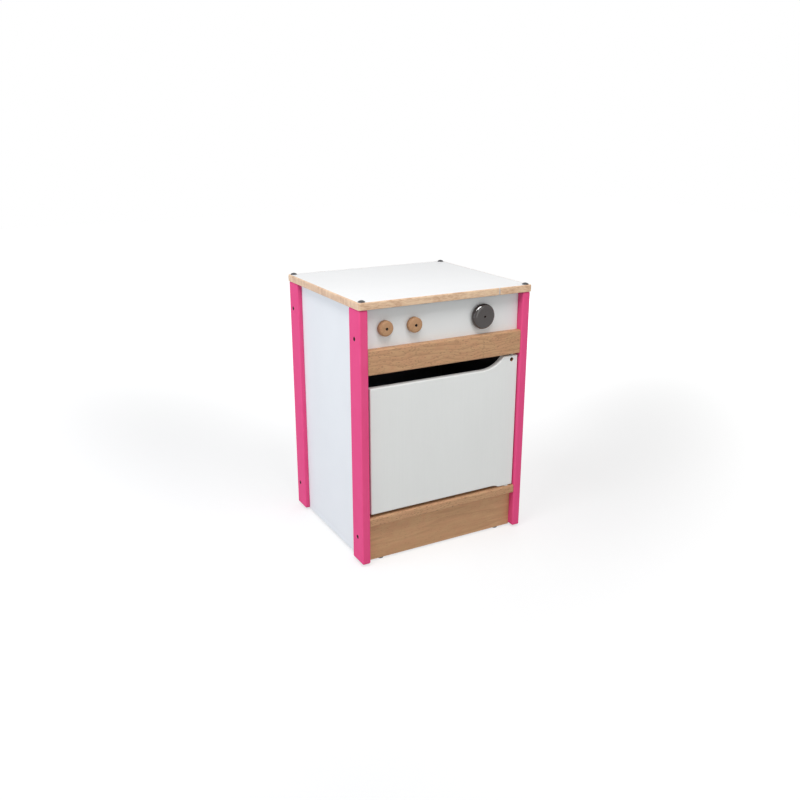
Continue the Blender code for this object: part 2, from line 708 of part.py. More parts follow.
def post_bolts(post_pieces, front_boards, back_piece, material):
    """Eight bolts through the posts into the ends of the control panel, the plinth and the back panel."""
    head_foot = -BOLT_SUNK - BOLT_HEAD
    profile = screw_profile(BOLT_HEAD_RADIUS, -BOLT_SUNK, head_foot, BOLT_RADIUS, -BOLT_LENGTH)
    hole = hole_profile(BOLT_HEAD_RADIUS, head_foot, BOLT_RADIUS, -BOLT_LENGTH)
    heights = {"upper": UNDER_TOP - UPPER_BOLT_DROP, "lower": LOWER_BOLT_HEIGHT}
    for corner, x_side, y_side in CORNERS:
        y = (PANEL_FRONT + PANEL_BACK) / 2 if y_side < 0 else (BACK_FRONT + BACK_REAR) / 2
        for level, height in heights.items():
            name = "post_bolt_" + corner + "_" + level
            place = (x_side * HALF_WIDTH, y, height)
            rotation = pointing((x_side, 0, 0))
            add_piece(name, turned(profile, SCREW_SEGMENTS), material, place, rotation)
            cutter = add_cutter("hole_" + name, turned(hole, SCREW_SEGMENTS), place, rotation)
            cut(post_pieces[corner], cutter)
            cut(front_boards[level] if y_side < 0 else back_piece, cutter)


def top_fixings(post_pieces, top_piece, screw_material, cap_material):
    """A screw down into the head of each post, under a domed cap in a shallow seat."""
    head_top = -JOINT_GAP
    head_foot = head_top - TOP_SCREW_HEAD
    profile = screw_profile(TOP_SCREW_HEAD_RADIUS, head_top, head_foot, TOP_SCREW_RADIUS, -TOP_SCREW_LENGTH)
    seat_radius = CAP_RADIUS + JOINT_GAP
    hole = [
        (seat_radius, CUT_OVERRUN),
        (seat_radius, -CAP_SEAT_DEPTH),
        *hole_profile(TOP_SCREW_HEAD_RADIUS, head_foot, TOP_SCREW_RADIUS, -TOP_SCREW_LENGTH, -CAP_SEAT_DEPTH),
    ]
    rise = CAP_HEIGHT - CAP_RIM
    dome_radius = (CAP_RADIUS ** 2 + rise ** 2) / (2 * rise)
    dome_angle = math.asin(CAP_RADIUS / dome_radius)
    dome_shares = (1, 0.8, 0.55, 0.25)
    dome = [(dome_radius * math.sin(dome_angle * share),
             CAP_HEIGHT - dome_radius * (1 - math.cos(dome_angle * share))) for share in dome_shares]
    for corner, x_side, y_side in CORNERS:
        x = x_side * (HALF_WIDTH - CAP_FROM_SIDE)
        y = y_side * (HALF_DEPTH - CAP_FROM_END)
        place = (x, y, OVERALL_HEIGHT)
        add_piece("top_screw_" + corner, turned(profile, SCREW_SEGMENTS), screw_material, place)
        cutter = add_cutter("hole_top_screw_" + corner, turned(hole, CAP_SEGMENTS), place)
        cut(top_piece, cutter)
        cut(post_pieces[corner], cutter)
        add_piece("screw_cap_" + corner, turned([(CAP_RADIUS, 0), *dome], CAP_SEGMENTS), cap_material,
                  (x, y, OVERALL_HEIGHT - CAP_SEAT_DEPTH + JOINT_GAP))


def rail_screws(panel, rail_piece, material):
    """Two screws through the control panel into the back of the rail."""
    tip = -BOARD_THICKNESS - GLUE_LINE - RAIL_SCREW_BITE
    profile = screw_profile(RAIL_SCREW_HEAD_RADIUS, JOINT_GAP + RAIL_SCREW_HEAD, JOINT_GAP, RAIL_SCREW_RADIUS,
                            tip)
    bore = bore_profile(RAIL_SCREW_RADIUS + JOINT_GAP, tip - JOINT_GAP, CUT_OVERRUN)
    for side, x_side in (("left", -1), ("right", 1)):
        place = (x_side * (POST_INNER - RAIL_SCREW_FROM_POST), PANEL_BACK, (RAIL_FOOT + RAIL_TOP) / 2)
        rotation = pointing(TO_REAR)
        add_piece("rail_screw_" + side, turned(profile, SCREW_SEGMENTS), material, place, rotation)
        cutter = add_cutter("hole_rail_screw_" + side, turned(bore, SCREW_SEGMENTS), place, rotation)
        cut(panel, cutter)
        cut(rail_piece, cutter)


def glides(plinth_piece, back_piece, material):
    """A nailed glide under each end of the plinth and of the back panel."""
    head = BOARD_FLOOR_GAP - JOINT_GAP
    nail_tip = BOARD_FLOOR_GAP + GLIDE_NAIL_LENGTH
    profile = [
        (GLIDE_RADIUS - GLIDE_FOOT_ROUNDING, 0),
        (GLIDE_RADIUS, GLIDE_FOOT_ROUNDING),
        (GLIDE_RADIUS, head),
        (GLIDE_NAIL_RADIUS, head),
        (GLIDE_NAIL_RADIUS, nail_tip),
    ]
    bore = bore_profile(GLIDE_NAIL_RADIUS + JOINT_GAP, BOARD_FLOOR_GAP - CUT_OVERRUN, nail_tip + JOINT_GAP)
    for corner, x_side, y_side in CORNERS:
        y = (PANEL_FRONT + PANEL_BACK) / 2 if y_side < 0 else (BACK_FRONT + BACK_REAR) / 2
        place = (x_side * (POST_INNER - GLIDE_FROM_POST), y, 0)
        add_piece("glide_" + corner, turned(profile, SCREW_SEGMENTS), material, place)
        cutter = add_cutter("hole_glide_" + corner, turned(bore, SCREW_SEGMENTS), place)
        cut(plinth_piece if y_side < 0 else back_piece, cutter)


def build():
    """Put the unit together, frame first, then the door, the controls and the fixings."""
    for old in list(bpy.data.objects):
        bpy.data.objects.remove(old, do_unlink=True)

    pink_lacquer = finish("pink_lacquer", (226, 82, 134), 0.45)
    white_laminate = finish("white_laminate", (238, 239, 240), 0.40)
    white_lacquer = finish("white_lacquer", (228, 228, 225), 0.50)
    black_laminate = finish("black_laminate", (26, 26, 30), 0.60)
    beech = finish("beech", (190, 150, 114), 0.55)
    pale_beech = finish("pale_beech", (222, 190, 156), 0.55)
    dark_lacquer = finish("dark_lacquer", (87, 83, 82), 0.15)
    dark_plastic = finish("dark_plastic", (60, 60, 62), 0.45)
    black_steel = finish("black_steel", (44, 43, 44), 0.40, 1.0)
    zinc_steel = finish("zinc_steel", (176, 178, 180), 0.35, 1.0)
    white_nylon = finish("white_nylon", (225, 223, 216), 0.50)

    post_pieces = posts(pink_lacquer)
    side_panels(white_laminate)
    back_piece = back_panel(white_laminate)
    base_panel(black_laminate, beech)
    top_piece = top_board(white_laminate)
    top_edge_band(pale_beech)
    panel = control_panel(white_laminate)
    rail_piece = front_rail(beech)
    sill_piece = sill(beech)
    plinth_piece = plinth(beech)

    door_piece = door(white_lacquer)
    pivot(door_piece, rail_piece, sill_piece, black_steel, white_nylon)
    catch(dark_plastic)
    strike_plate(zinc_steel)

    left_x = KNOB_LEFT_FROM_POST - POST_INNER
    right_x = KNOB_RIGHT_FROM_POST - POST_INNER
    dial_x = POST_INNER - DIAL_FROM_POST
    for control in (
        ("knob_left", left_x, knob_section(), KNOB_SEGMENTS, KNOB_THICKNESS, beech),
        ("knob_right", right_x, knob_section(), KNOB_SEGMENTS, KNOB_THICKNESS, beech),
        ("dial", dial_x, dial_section(), DIAL_SEGMENTS, DIAL_THICKNESS, dark_lacquer),
    ):
        turning_control(panel, *control, black_steel, white_nylon)

    post_bolts(post_pieces, {"upper": panel, "lower": plinth_piece}, back_piece, black_steel)
    top_fixings(post_pieces, top_piece, zinc_steel, dark_plastic)
    rail_screws(panel, rail_piece, zinc_steel)
    glides(plinth_piece, back_piece, dark_plastic)


build()
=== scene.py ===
import math

import bmesh
import bpy
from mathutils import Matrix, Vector


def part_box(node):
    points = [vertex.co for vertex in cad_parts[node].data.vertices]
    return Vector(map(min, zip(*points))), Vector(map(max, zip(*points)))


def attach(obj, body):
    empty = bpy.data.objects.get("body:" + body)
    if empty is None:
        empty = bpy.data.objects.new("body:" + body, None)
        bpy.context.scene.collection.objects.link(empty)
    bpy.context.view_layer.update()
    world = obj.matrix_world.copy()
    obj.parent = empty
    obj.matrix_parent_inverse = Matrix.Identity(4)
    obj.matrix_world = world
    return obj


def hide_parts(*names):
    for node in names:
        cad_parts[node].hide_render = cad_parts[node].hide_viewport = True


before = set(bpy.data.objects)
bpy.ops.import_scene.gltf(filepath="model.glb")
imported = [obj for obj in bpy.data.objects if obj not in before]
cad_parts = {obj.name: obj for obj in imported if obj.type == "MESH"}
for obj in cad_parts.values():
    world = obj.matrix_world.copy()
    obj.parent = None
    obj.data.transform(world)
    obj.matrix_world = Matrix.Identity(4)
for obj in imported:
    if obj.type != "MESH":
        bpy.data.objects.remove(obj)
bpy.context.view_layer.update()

# POSTS
# Four uprights of solid wood, 20 by 52 mm, with every edge rounded over and a pink satin lacquer sprayed on.
# A rebate along each takes the edge of a side panel, and the outer face is drilled for two bolts.

CORNERS = ("front_left", "front_right", "rear_left", "rear_right")
LEVELS = ("upper", "lower")
POST_ROUNDING = 0.0035
ROUNDING_STEPS = 6
REBATE_DEPTH = 0.0090
REBATE_REACH = 0.0120
PAST_THE_FACE = 0.0020
FIT = 0.0003
BOLT_HOLE_RADIUS = 0.0040
BOLT_HOLE_DEPTH = 0.0063
BOLT_SHANK_RADIUS = 0.0028
BOLT_LENGTH = 0.0503
HOLE_LIP = 0.0008
LIP_MIDDLE_SHARE = 0.3
LIP_TOP_SHARE = 0.1
TOP_SCREW_SHANK_RADIUS = 0.0025
TURNED_STEPS = 64
CUT_STEPS = 1
SMOOTH_ANGLE = math.radians(32)
PINK = (0.85, 0.089, 0.252, 1)
PINK_THIN = (0.88, 0.104, 0.277, 1)
# Tones of bored wood darkened to paint the shade inside deep holes.
BORE_SHADE_DARK = (0.045, 0.022, 0.014, 1)
BORE_SHADE_DARKER = (0.016, 0.008, 0.006, 1)
BLACK = (0.095, 0.095, 0.118, 1)
BLACK_SHEEN = (0.118, 0.118, 0.14, 1)
SAME_WAY = 0.99
SPRAY_MOTTLE = (22, 22, 22)
SPRAY_PEEL = (420, 420, 420)
POST_GRAIN = (620, 620, 14)
BRUSH_STROKES = (240, 240, 12)
BORED_STREAKS = (700, 700, 90)
PEEL_DEPTH = 0.00006
BURR_DEPTH = 0.0002


def box_shape(low, high, rounding, steps):
    """A block between two corners with every edge rounded."""
    shape = bmesh.new()
    bmesh.ops.create_cube(shape, size=1)
    bmesh.ops.scale(shape, vec=Vector(high) - Vector(low), verts=shape.verts)
    bmesh.ops.translate(shape, vec=(Vector(low) + Vector(high)) / 2, verts=shape.verts)
    bmesh.ops.bevel(shape, geom=shape.edges[:], offset=rounding, segments=steps, profile=0.5,
                    affect="EDGES", clamp_overlap=True)
    return shape


def skin(outlines, closed=False):
    """A surface through outlines of points, capped at both ends unless it closes on itself."""
    shape = bmesh.new()
    rings = [[shape.verts.new(point) for point in outline] for outline in outlines]
    for ring, following in zip(rings, rings[1:] + rings[:1] if closed else rings[1:]):
        for index in range(len(ring)):
            after = (index + 1) % len(ring)
            shape.faces.new((ring[index], ring[after], following[after], following[index]))
    if not closed:
        shape.faces.new(rings[0])
        shape.faces.new(rings[-1])
    bmesh.ops.recalc_face_normals(shape, faces=shape.faces)
    return shape


def turned(profile, place=(0, 0, 0), direction=(0, 0, 1), bored=False, steps=TURNED_STEPS):
    """Turn a profile of (radius, height) points round the axis that leaves a place in a direction."""
    angles = [2 * math.pi * step / steps for step in range(steps)]
    shape = skin([[(radius * math.cos(angle), radius * math.sin(angle), height) for angle in angles]
                  for radius, height in profile], bored)
    turn = Vector(direction).to_track_quat("Z", "Y").to_matrix()
    bmesh.ops.rotate(shape, cent=(0, 0, 0), matrix=turn, verts=shape.verts)
    bmesh.ops.translate(shape, vec=place, verts=shape.verts)
    return shape


def lip(bore, height, depth, outwards):
    """Points of a softened lip where a bore, or a shaft with outwards at -1, meets a face at a height."""
    middle = depth * LIP_MIDDLE_SHARE
    return [(bore + outwards * depth, height), (bore + outwards * middle, height - middle),
            (bore, height - depth)]


def drill(radius, depth, shank_radius=0, shank_depth=0):
    """The profile of a hole with a softened lip, and of the narrower hole for a shank below it."""
    hole = [(radius + HOLE_LIP, PAST_THE_FACE), *lip(radius, 0, HOLE_LIP, 1), (radius, -depth)]
    return hole + [(shank_radius, -depth), (shank_radius, -shank_depth)] if shank_radius else hole


def middle_of(node):
    """The middle of a CAD node's box."""
    low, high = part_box(node)
    return (low + high) / 2


def add_object(name, shape):
    """Turn a worked shape into an object."""
    mesh = bpy.data.meshes.new(name)
    shape.to_mesh(mesh)
    shape.free()
    piece = bpy.data.objects.new(name, mesh)
    bpy.context.scene.collection.objects.link(piece)
    return piece


def worked(name, shape, finish, cutters=()):
    """Turn a shape into a piece with a finish, take the cutters out and shade rounded edges smooth."""
    piece = add_object(name, shape)
    tools = [add_object(name + "_tool", cutter) for cutter in cutters]
    for tool in tools:
        cut = piece.modifiers.new("cut", "BOOLEAN")
        cut.operation = "DIFFERENCE"
        cut.solver = "EXACT"
        cut.object = tool
    if tools:
        depsgraph = bpy.context.evaluated_depsgraph_get()
        result = bpy.data.meshes.new_from_object(piece.evaluated_get(depsgraph))
        piece.modifiers.clear()
        piece.data = result
    for tool in tools:
        bpy.data.objects.remove(tool, do_unlink=True)
    piece.data.materials.append(finish)
    piece.data.shade_smooth()
    piece.data.set_sharp_from_angle(angle=SMOOTH_ANGLE)
    level = piece.modifiers.new("level_faces", "WEIGHTED_NORMAL")
    level.keep_sharp = True
    return piece


def refaced(piece, finish, chosen):
    """Give a finish to the faces of a piece that are chosen."""
    if finish.name not in piece.data.materials:
        piece.data.materials.append(finish)
    finish_slot = piece.data.materials.find(finish.name)
    for face in piece.data.polygons:
        if chosen(face):
            face.material_index = finish_slot


def add_node(tree, kind, inputs=None, **settings):
    """Add a shader node. An input given as another node's socket is linked, and any other is set."""
    node = tree.nodes.new("ShaderNode" + kind)
    for name, value in settings.items():
        setattr(node, name, value)
    for name, value in (inputs or {}).items():
        if isinstance(value, bpy.types.NodeSocket):
            tree.links.new(value, node.inputs[name])
        else:
            node.inputs[name].default_value = value
    return node


def new_finish(name, roughness, **fixed):
    """A material, its node tree and the coordinates that belong to the piece."""
    material = bpy.data.materials.new(name)
    material.use_nodes = True
    tree = material.node_tree
    shader = tree.nodes["Principled BSDF"]
    shader.inputs["Roughness"].default_value = roughness
    for socket, value in fixed.items():
        shader.inputs[socket.replace("_", " ")].default_value = value
    return material, tree, add_node(tree, "TexCoord").outputs["Object"]


def stretched(tree, place, stretch):
    """Coordinates in which a texture's grains are counted per metre along X, Y and Z."""
    return add_node(tree, "Mapping", {"Vector": place, "Scale": stretch}).outputs["Vector"]


def noise(tree, place, stretch, detail, roughness=0.5):
    """Noise whose grains are counted per metre along X, Y and Z."""
    made = add_node(tree, "TexNoise", {"Vector": stretched(tree, place, stretch), "Scale": 1,
                                       "Detail": detail, "Roughness": roughness})
    return made.outputs["Fac"]


def ramp(tree, factor, *stops):
    """Turn a factor into a colour by (position, colour) stops."""
    made = add_node(tree, "ValToRGB", {"Fac": factor})
    elements = made.color_ramp.elements
    while len(elements) < len(stops):
        elements.new(1)
    for element, (position, colour) in zip(elements, stops):
        element.position = position
        element.color = colour
    return made.outputs["Color"]


def spread(tree, factor, low, high, from_low=0.0, from_high=1.0, way="LINEAR"):
    """Bring a factor into a range."""
    made = add_node(tree, "MapRange", {"Value": factor, "From Min": from_low, "From Max": from_high,
                                       "To Min": low, "To Max": high}, interpolation_type=way)
    return made.outputs["Result"]


def blended(tree, factor, first, second):
    """Mix two colours."""
    return add_node(tree, "Mix", {0: factor, 6: first, 7: second}, data_type="RGBA").outputs[2]


def laid(material, colour, roughness, height, depth, strength=1.0):
    """Give a finish its colour, its roughness if that varies, and a relief of a depth in metres."""
    tree = material.node_tree
    bump = add_node(tree, "Bump", {"Height": height, "Distance": depth, "Strength": strength})
    for made, socket in ((colour, "Base Color"), (roughness, "Roughness"), (bump.outputs[0], "Normal")):
        if made is not None:
            tree.links.new(made, tree.nodes["Principled BSDF"].inputs[socket])
    return material


def pink_lacquer():
    """Two coats of pink lacquer, a little thinner here and there, with a faint orange peel and grain."""
    material, tree, place = new_finish("pink_satin_lacquer", 0.4, Specular_IOR_Level=0.01)
    mottle = noise(tree, place, SPRAY_MOTTLE, 3)
    grain = noise(tree, place, POST_GRAIN, 2)
    peel = noise(tree, place, SPRAY_PEEL, 1)
    tone = blended(tree, 0.3, mottle, grain)
    return laid(material, ramp(tree, tone, (0.3, PINK), (0.75, PINK_THIN)),
                spread(tree, mottle, 0.36, 0.46), blended(tree, 0.35, peel, grain), PEEL_DEPTH)


def black_paint():
    """Matt black paint, brushed on, a little uneven in tone."""
    material, tree, place = new_finish("matt_black_paint", 0.6)
    strokes = noise(tree, place, BRUSH_STROKES, 3)
    return laid(material, ramp(tree, strokes, (0.35, BLACK), (0.7, BLACK_SHEEN)), None, strokes,
                PEEL_DEPTH)


def raw_wood(name, tone, deep):
    """Freshly bored wood in a hole: end grain with burnt streaks. Very dark tones given to it paint the
    shade deep in a hole.
    """
    material, tree, place = new_finish(name, 0.8)
    streaks = noise(tree, place, BORED_STREAKS, 3, 0.6)
    return laid(material, ramp(tree, streaks, (0.35, tone), (0.65, deep)), None, streaks, BURR_DEPTH)


def line_bore(piece, place, direction, radius, depth, lining):
    """Give the faces inside a round hole the lining's finish."""
    axis = Vector(direction)

    def in_the_hole(face):
        reach = piece.matrix_basis @ face.center - Vector(place)
        along = reach.dot(axis)
        across = (reach - axis * along).length
        return across < radius and -depth < along < -HOLE_LIP * LIP_TOP_SHARE

    refaced(piece, lining, in_the_hole)


pink = pink_lacquer()
# Very dark bored wood lines the bolt holes and knob bores: raw wood with painted shade of the deep hole.
shaded_bore = raw_wood("shaded_bore", BORE_SHADE_DARK, BORE_SHADE_DARKER)
matt_black = black_paint()
cavity_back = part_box("back_panel")[0].y + PAST_THE_FACE
for corner in CORNERS:
    low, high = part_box("post_" + corner)
    outer_x = max(low.x, high.x, key=abs)
    inner_x = min(low.x, high.x, key=abs)
    inner_y = min(low.y, high.y, key=abs)
    x_side = math.copysign(1, outer_x)
    y_side = math.copysign(1, inner_y)
    rebate_x = sorted((inner_x - x_side * PAST_THE_FACE, inner_x + x_side * REBATE_DEPTH))
    rebate_y = sorted((inner_y - y_side * PAST_THE_FACE, inner_y + y_side * REBATE_REACH))
    rebate = box_shape((rebate_x[0], rebate_y[0], low.z - PAST_THE_FACE),
                       (rebate_x[1], rebate_y[1], high.z + PAST_THE_FACE), FIT, CUT_STEPS)
    cutters = [rebate]
    bolt_places = []
    for level in LEVELS:
        middle = middle_of("post_bolt_" + corner + "_" + level)
        bolt_places.append((outer_x, middle.y, middle.z))
        cutters.append(turned(drill(BOLT_HOLE_RADIUS, BOLT_HOLE_DEPTH, BOLT_SHANK_RADIUS, BOLT_LENGTH),
                              bolt_places[-1], (x_side, 0, 0)))
    middle = middle_of("top_screw_" + corner)
    cutters.append(turned([(TOP_SCREW_SHANK_RADIUS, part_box("top_screw_" + corner)[0].z - FIT),
                           (TOP_SCREW_SHANK_RADIUS, high.z + PAST_THE_FACE)], (middle.x, middle.y, 0)))
    upright = box_shape(low, high, POST_ROUNDING, ROUNDING_STEPS)
    if y_side > 0:
        bmesh.ops.bisect_plane(upright, geom=upright.verts[:] + upright.edges[:] + upright.faces[:],
                               plane_co=(0, cavity_back, 0), plane_no=(0, 1, 0))
    piece = worked("post_" + corner + "_lacquered", upright, pink, cutters)
    for bolt_place in bolt_places:
        line_bore(piece, bolt_place, (x_side, 0, 0), BOLT_HOLE_RADIUS + HOLE_LIP, BOLT_LENGTH, shaded_bore)
    if y_side > 0:
        cavity_x = abs(inner_x) + REBATE_DEPTH
        refaced(piece, matt_black, lambda face: (
            abs(face.center.x) < cavity_x and face.center.y < cavity_back
            and (face.normal.x * x_side < -SAME_WAY or face.normal.y < -SAME_WAY)))
    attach(piece, "carcass")
    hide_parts("post_" + corner)

# SIDE PANELS
# Two thin boards, white melamine on the outside and black on the inside, with lightly broken white edges.
# Their long edges stand in the rebates of the posts.

SIDES = {"left": -1, "right": 1}
BOARD_ARRIS = 0.0006
ARRIS_STEPS = 3
WHITE = (0.865, 0.867, 0.868, 1)
WHITE_SHADE = (0.835, 0.838, 0.842, 1)
PAPER_CLOUD = (9, 9, 9)
PEARL = (1300, 1300, 1300)
PEARL_DEPTH = 0.00003


def melamine(name, tone, shade, roughness):
    """Melamine paper pressed to a fine pearl: a little cloudy in tone and in gloss."""
    material, tree, place = new_finish(name, roughness, Specular_IOR_Level=0.15)
    cloud = noise(tree, place, PAPER_CLOUD, 3)
    pearl = noise(tree, place, PEARL, 1)
    return laid(material, ramp(tree, blended(tree, 0.35, cloud, pearl), (0.3, shade), (0.62, tone)),
                spread(tree, cloud, roughness - 0.05, roughness + 0.06), pearl, PEARL_DEPTH)


def face_inside(piece, inwards):
    """Face the side of a board that looks inwards in black."""
    refaced(piece, black_melamine, lambda face: face.normal.dot(Vector(inwards)) > SAME_WAY)


white_melamine = melamine("white_melamine", WHITE, WHITE_SHADE, 0.42)
black_melamine = melamine("black_melamine", BLACK, BLACK_SHEEN, 0.5)
for side, x_side in SIDES.items():
    piece = worked("side_panel_" + side + "_faced",
                   box_shape(*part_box("side_panel_" + side), BOARD_ARRIS, ARRIS_STEPS), white_melamine)
    face_inside(piece, (-x_side, 0, 0))
    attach(piece, "carcass")
    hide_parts("side_panel_" + side)

# BACK PANEL
# A full-height board of 16 mm melamine between the rear posts, white behind and black towards the cavity.
# It is bored in both ends for the rear bolts, and in its foot for the nails of two glides.

GLIDE_NAIL_HOLE = 0.0015


def bolt_ends(row):
    """Cutters for the bolts that enter a board from the posts at both ends."""
    made = []
    for side, x_side in SIDES.items():
        bolt = "post_bolt_" + row[0] + "_" + side + "_" + row[1]
        middle = middle_of(bolt)
        ends = sorted(x_side * end.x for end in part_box(bolt))
        made.append(turned([(BOLT_SHANK_RADIUS, ends[0] - FIT), (BOLT_SHANK_RADIUS, ends[1])],
                           (0, middle.y, middle.z), (x_side, 0, 0)))
    return made


def nail_holes(row):
    """Cutters for the glide nails that enter a board from below."""
    made = []
    for side in SIDES:
        glide = "glide_" + row + "_" + side
        middle = middle_of(glide)
        made.append(turned([(GLIDE_NAIL_HOLE, 0), (GLIDE_NAIL_HOLE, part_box(glide)[1].z + FIT)],
                           (middle.x, middle.y, 0)))
    return made


cutters = bolt_ends(("rear", "upper")) + bolt_ends(("rear", "lower")) + nail_holes("rear")
piece = worked("back_panel_faced", box_shape(*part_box("back_panel"), BOARD_ARRIS, ARRIS_STEPS),
               white_melamine, cutters)
face_inside(piece, (0, -1, 0))
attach(piece, "carcass")
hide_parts("back_panel")

# BASE PANEL AND ITS CLEATS
# The floor of the cavity is a black melamine board behind the sill.
# It lies on two square beech cleats, which are glued inside the side panels.

STEAMED = (0.625, 0.374, 0.202, 1)
STEAMED_WARM = (0.62, 0.34, 0.188, 1)
STEAMED_DEEP = (0.445, 0.241, 0.125, 1)
STEAMED_FLECK = (0.23, 0.112, 0.052, 1)
FIBRES_ACROSS = 760
FIBRES_ALONG = 24
BLUSH_ACROSS = 62
BLUSH_ALONG = 34
FIGURE_ACROSS = 19
FIGURE_ALONG = 7
FLECKS_ACROSS = 430
FLECKS_ALONG = 125
FLECK_CORE = 0.168
FLECK_EDGE = 0.42
WOOD_RELIEF = 0.00009
RING_TURNS = 20
RING_GAP = 0.0042
GRAIN_BEND = 0.054
CLEAT_HEART = (0, 0, 0.04)


def lengthways(grain, across, along):
    """Counts per metre on X, Y and Z for wood whose grain runs along one of them."""
    return tuple(along if axis == grain else across for axis in "XYZ")


def beech(name, grain, heart, tones=(STEAMED, STEAMED_WARM, STEAMED_DEEP, STEAMED_FLECK),
          ring_gap=RING_GAP, bend=GRAIN_BEND, figure=0.5, fleck=0.55, figure_across=FIGURE_ACROSS,
          figure_along=FIGURE_ALONG):
    """Beech under clear matt lacquer: growth rings round a heart, long fibres and short dark flecks."""
    material, tree, place = new_finish(name, 0.5, Specular_IOR_Level=0.3, Coat_Weight=0.08,
                                       Coat_Roughness=0.35)
    pale, warm, deep, dark = tones
    drift = stretched(tree, place, lengthways(grain, figure_across, figure_along))
    wander = add_node(tree, "TexNoise", {"Vector": drift, "Scale": 1, "Detail": 2})
    push = add_node(tree, "VectorMath", {0: wander.outputs["Color"], 1: (0.5, 0.5, 0.5)},
                    operation="SUBTRACT")
    shifted = add_node(tree, "VectorMath", {0: push.outputs["Vector"], 1: (bend,) * 3, 2: place},
                       operation="MULTIPLY_ADD")
    centred = add_node(tree, "VectorMath", {0: shifted.outputs["Vector"], 1: heart}, operation="SUBTRACT")
    rings = add_node(tree, "TexWave", {"Vector": centred.outputs["Vector"],
                                       "Scale": 2 * math.pi / (RING_TURNS * ring_gap), "Distortion": 0},
                     wave_type="RINGS", rings_direction=grain, wave_profile="SAW").outputs["Fac"]
    ring_tone = ramp(tree, rings, (0, (0, 0, 0, 1)), (0.55, (0.25, 0.25, 0.25, 1)), (0.9, (1, 1, 1, 1)),
                     (1, (0, 0, 0, 1)))
    fibre = noise(tree, place, lengthways(grain, FIBRES_ACROSS, FIBRES_ALONG), 3, 0.6)
    cloud = noise(tree, place, lengthways(grain, figure_across * 2, figure_along * 2), 2)
    cells = stretched(tree, place, lengthways(grain, FLECKS_ACROSS, FLECKS_ALONG))
    spots = add_node(tree, "TexVoronoi", {"Vector": cells, "Scale": 1})
    lens = spread(tree, spots.outputs["Distance"], 1, 0, FLECK_CORE, FLECK_EDGE)
    chosen = spread(tree, spots.outputs["Color"], 0, 1, 0.40, 0.66)
    flecks = add_node(tree, "Math", {0: lens, 1: chosen}, operation="MULTIPLY").outputs[0]
    tone = blended(tree, 0.5, fibre, blended(tree, figure, cloud, ring_tone))
    blush = noise(tree, place, lengthways(grain, BLUSH_ACROSS, BLUSH_ALONG), 1)
    ground = ramp(tree, blush, (0.42, pale), (0.58, warm))
    colour = blended(tree, spread(tree, tone, 0, 1, 0.22, 0.72), ground, deep)
    return laid(material, blended(tree, spread(tree, flecks, 0, fleck), colour, dark),
                spread(tree, fibre, 0.44, 0.6), blended(tree, 0.4, fibre, flecks), WOOD_RELIEF, 0.6)


piece = worked("base_panel_faced", box_shape(*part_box("base_panel"), BOARD_ARRIS, ARRIS_STEPS),
               black_melamine)
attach(piece, "carcass")
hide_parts("base_panel")

cleat_beech = beech("cleat_beech", "Y", CLEAT_HEART)
for side in SIDES:
    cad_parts["base_cleat_" + side].material_slots[0].material = cleat_beech

# PLINTH
# A recessed beech board under the sill, set on edge between the front posts with its grain level.
# Two bolts enter its ends from the posts, and two glides are nailed into its foot.

PLINTH_TONES = ((0.675, 0.405, 0.215, 1), (0.665, 0.366, 0.20, 1), (0.475, 0.257, 0.132, 1),
                (0.24, 0.115, 0.053, 1))
PLINTH_HEART = (0, 0.16, 0.02)
PLINTH_RING_GAP = 0.0065
PLINTH_BEND = 0.018
PLINTH_FIGURE_ACROSS = 34
PLINTH_FIGURE_ALONG = 3

cutters = bolt_ends(("front", "lower")) + nail_holes("front")
plinth_beech = beech("plinth_beech", "X", PLINTH_HEART, PLINTH_TONES, PLINTH_RING_GAP, PLINTH_BEND,
                     figure=0.4, fleck=0.7, figure_across=PLINTH_FIGURE_ACROSS,
                     figure_along=PLINTH_FIGURE_ALONG)
piece = worked("plinth_planed", box_shape(*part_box("plinth"), BOARD_ARRIS, ARRIS_STEPS), plinth_beech,
               cutters)
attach(piece, "carcass")
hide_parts("plinth")

# CONTROL PANEL
# A board of 16 mm melamine upright between the front posts, white in front and black behind.
# It is bored through for the three turning controls and for two rail screws, and in its ends for the bolts.

KNOBS = ("knob_left", "knob_right", "dial")
SPINDLE_BORE = 0.0025
RAIL_SCREW_BORE = 0.0021

panel_low, panel_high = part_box("control_panel")


def panel_bore(node, radius, front):
    """A cutter for a bore in line with a CAD node, from a front place to behind the panel."""
    middle = middle_of(node)
    return turned([(radius, front), (radius, panel_high.y + PAST_THE_FACE)], (middle.x, 0, middle.z),
                  (0, 1, 0))


def rail_screw_bores():
    """Cutters for the two screws that hold the rail."""
    return [panel_bore("rail_screw_" + side, RAIL_SCREW_BORE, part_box("rail_screw_" + side)[0].y - FIT)
            for side in SIDES]


cutters = bolt_ends(("front", "upper"))
cutters += [panel_bore(knob + "_spacer", SPINDLE_BORE, panel_low.y - PAST_THE_FACE) for knob in KNOBS]
piece = worked("control_panel_faced", box_shape(panel_low, panel_high, BOARD_ARRIS, ARRIS_STEPS),
               white_melamine, cutters + rail_screw_bores())
face_inside(piece, (0, 1, 0))
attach(piece, "carcass")
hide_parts("control_panel")

# RAIL AND SILL
# Two lengths of solid beech between the front posts, with both front edges rounded over.
# The rail is glued and screwed to the control panel's face. The sill lies flat on the plinth.
# A blind hole in each takes a bush of the door's pivot.

END_ARRIS = 0.0004
RAIL_EDGES = (0.0030, 0.0040)
SILL_EDGES = (0.0030, 0.0050)
BUSH_SEAT_RADIUS = 0.0043
RAIL_SEAT_DEPTH = 0.0103
SILL_SEAT_DEPTH = 0.0143
RAIL_HEART = (0, -0.06, 0.53)
SILL_HEART = (0, -0.15, 0.02)
RAIL_BEND = 0.03
END_STEPS = 2
ARC_STEP = math.radians(9)
SAME_POINT = 0.00001
SHARPEST_SHARE = 0.3


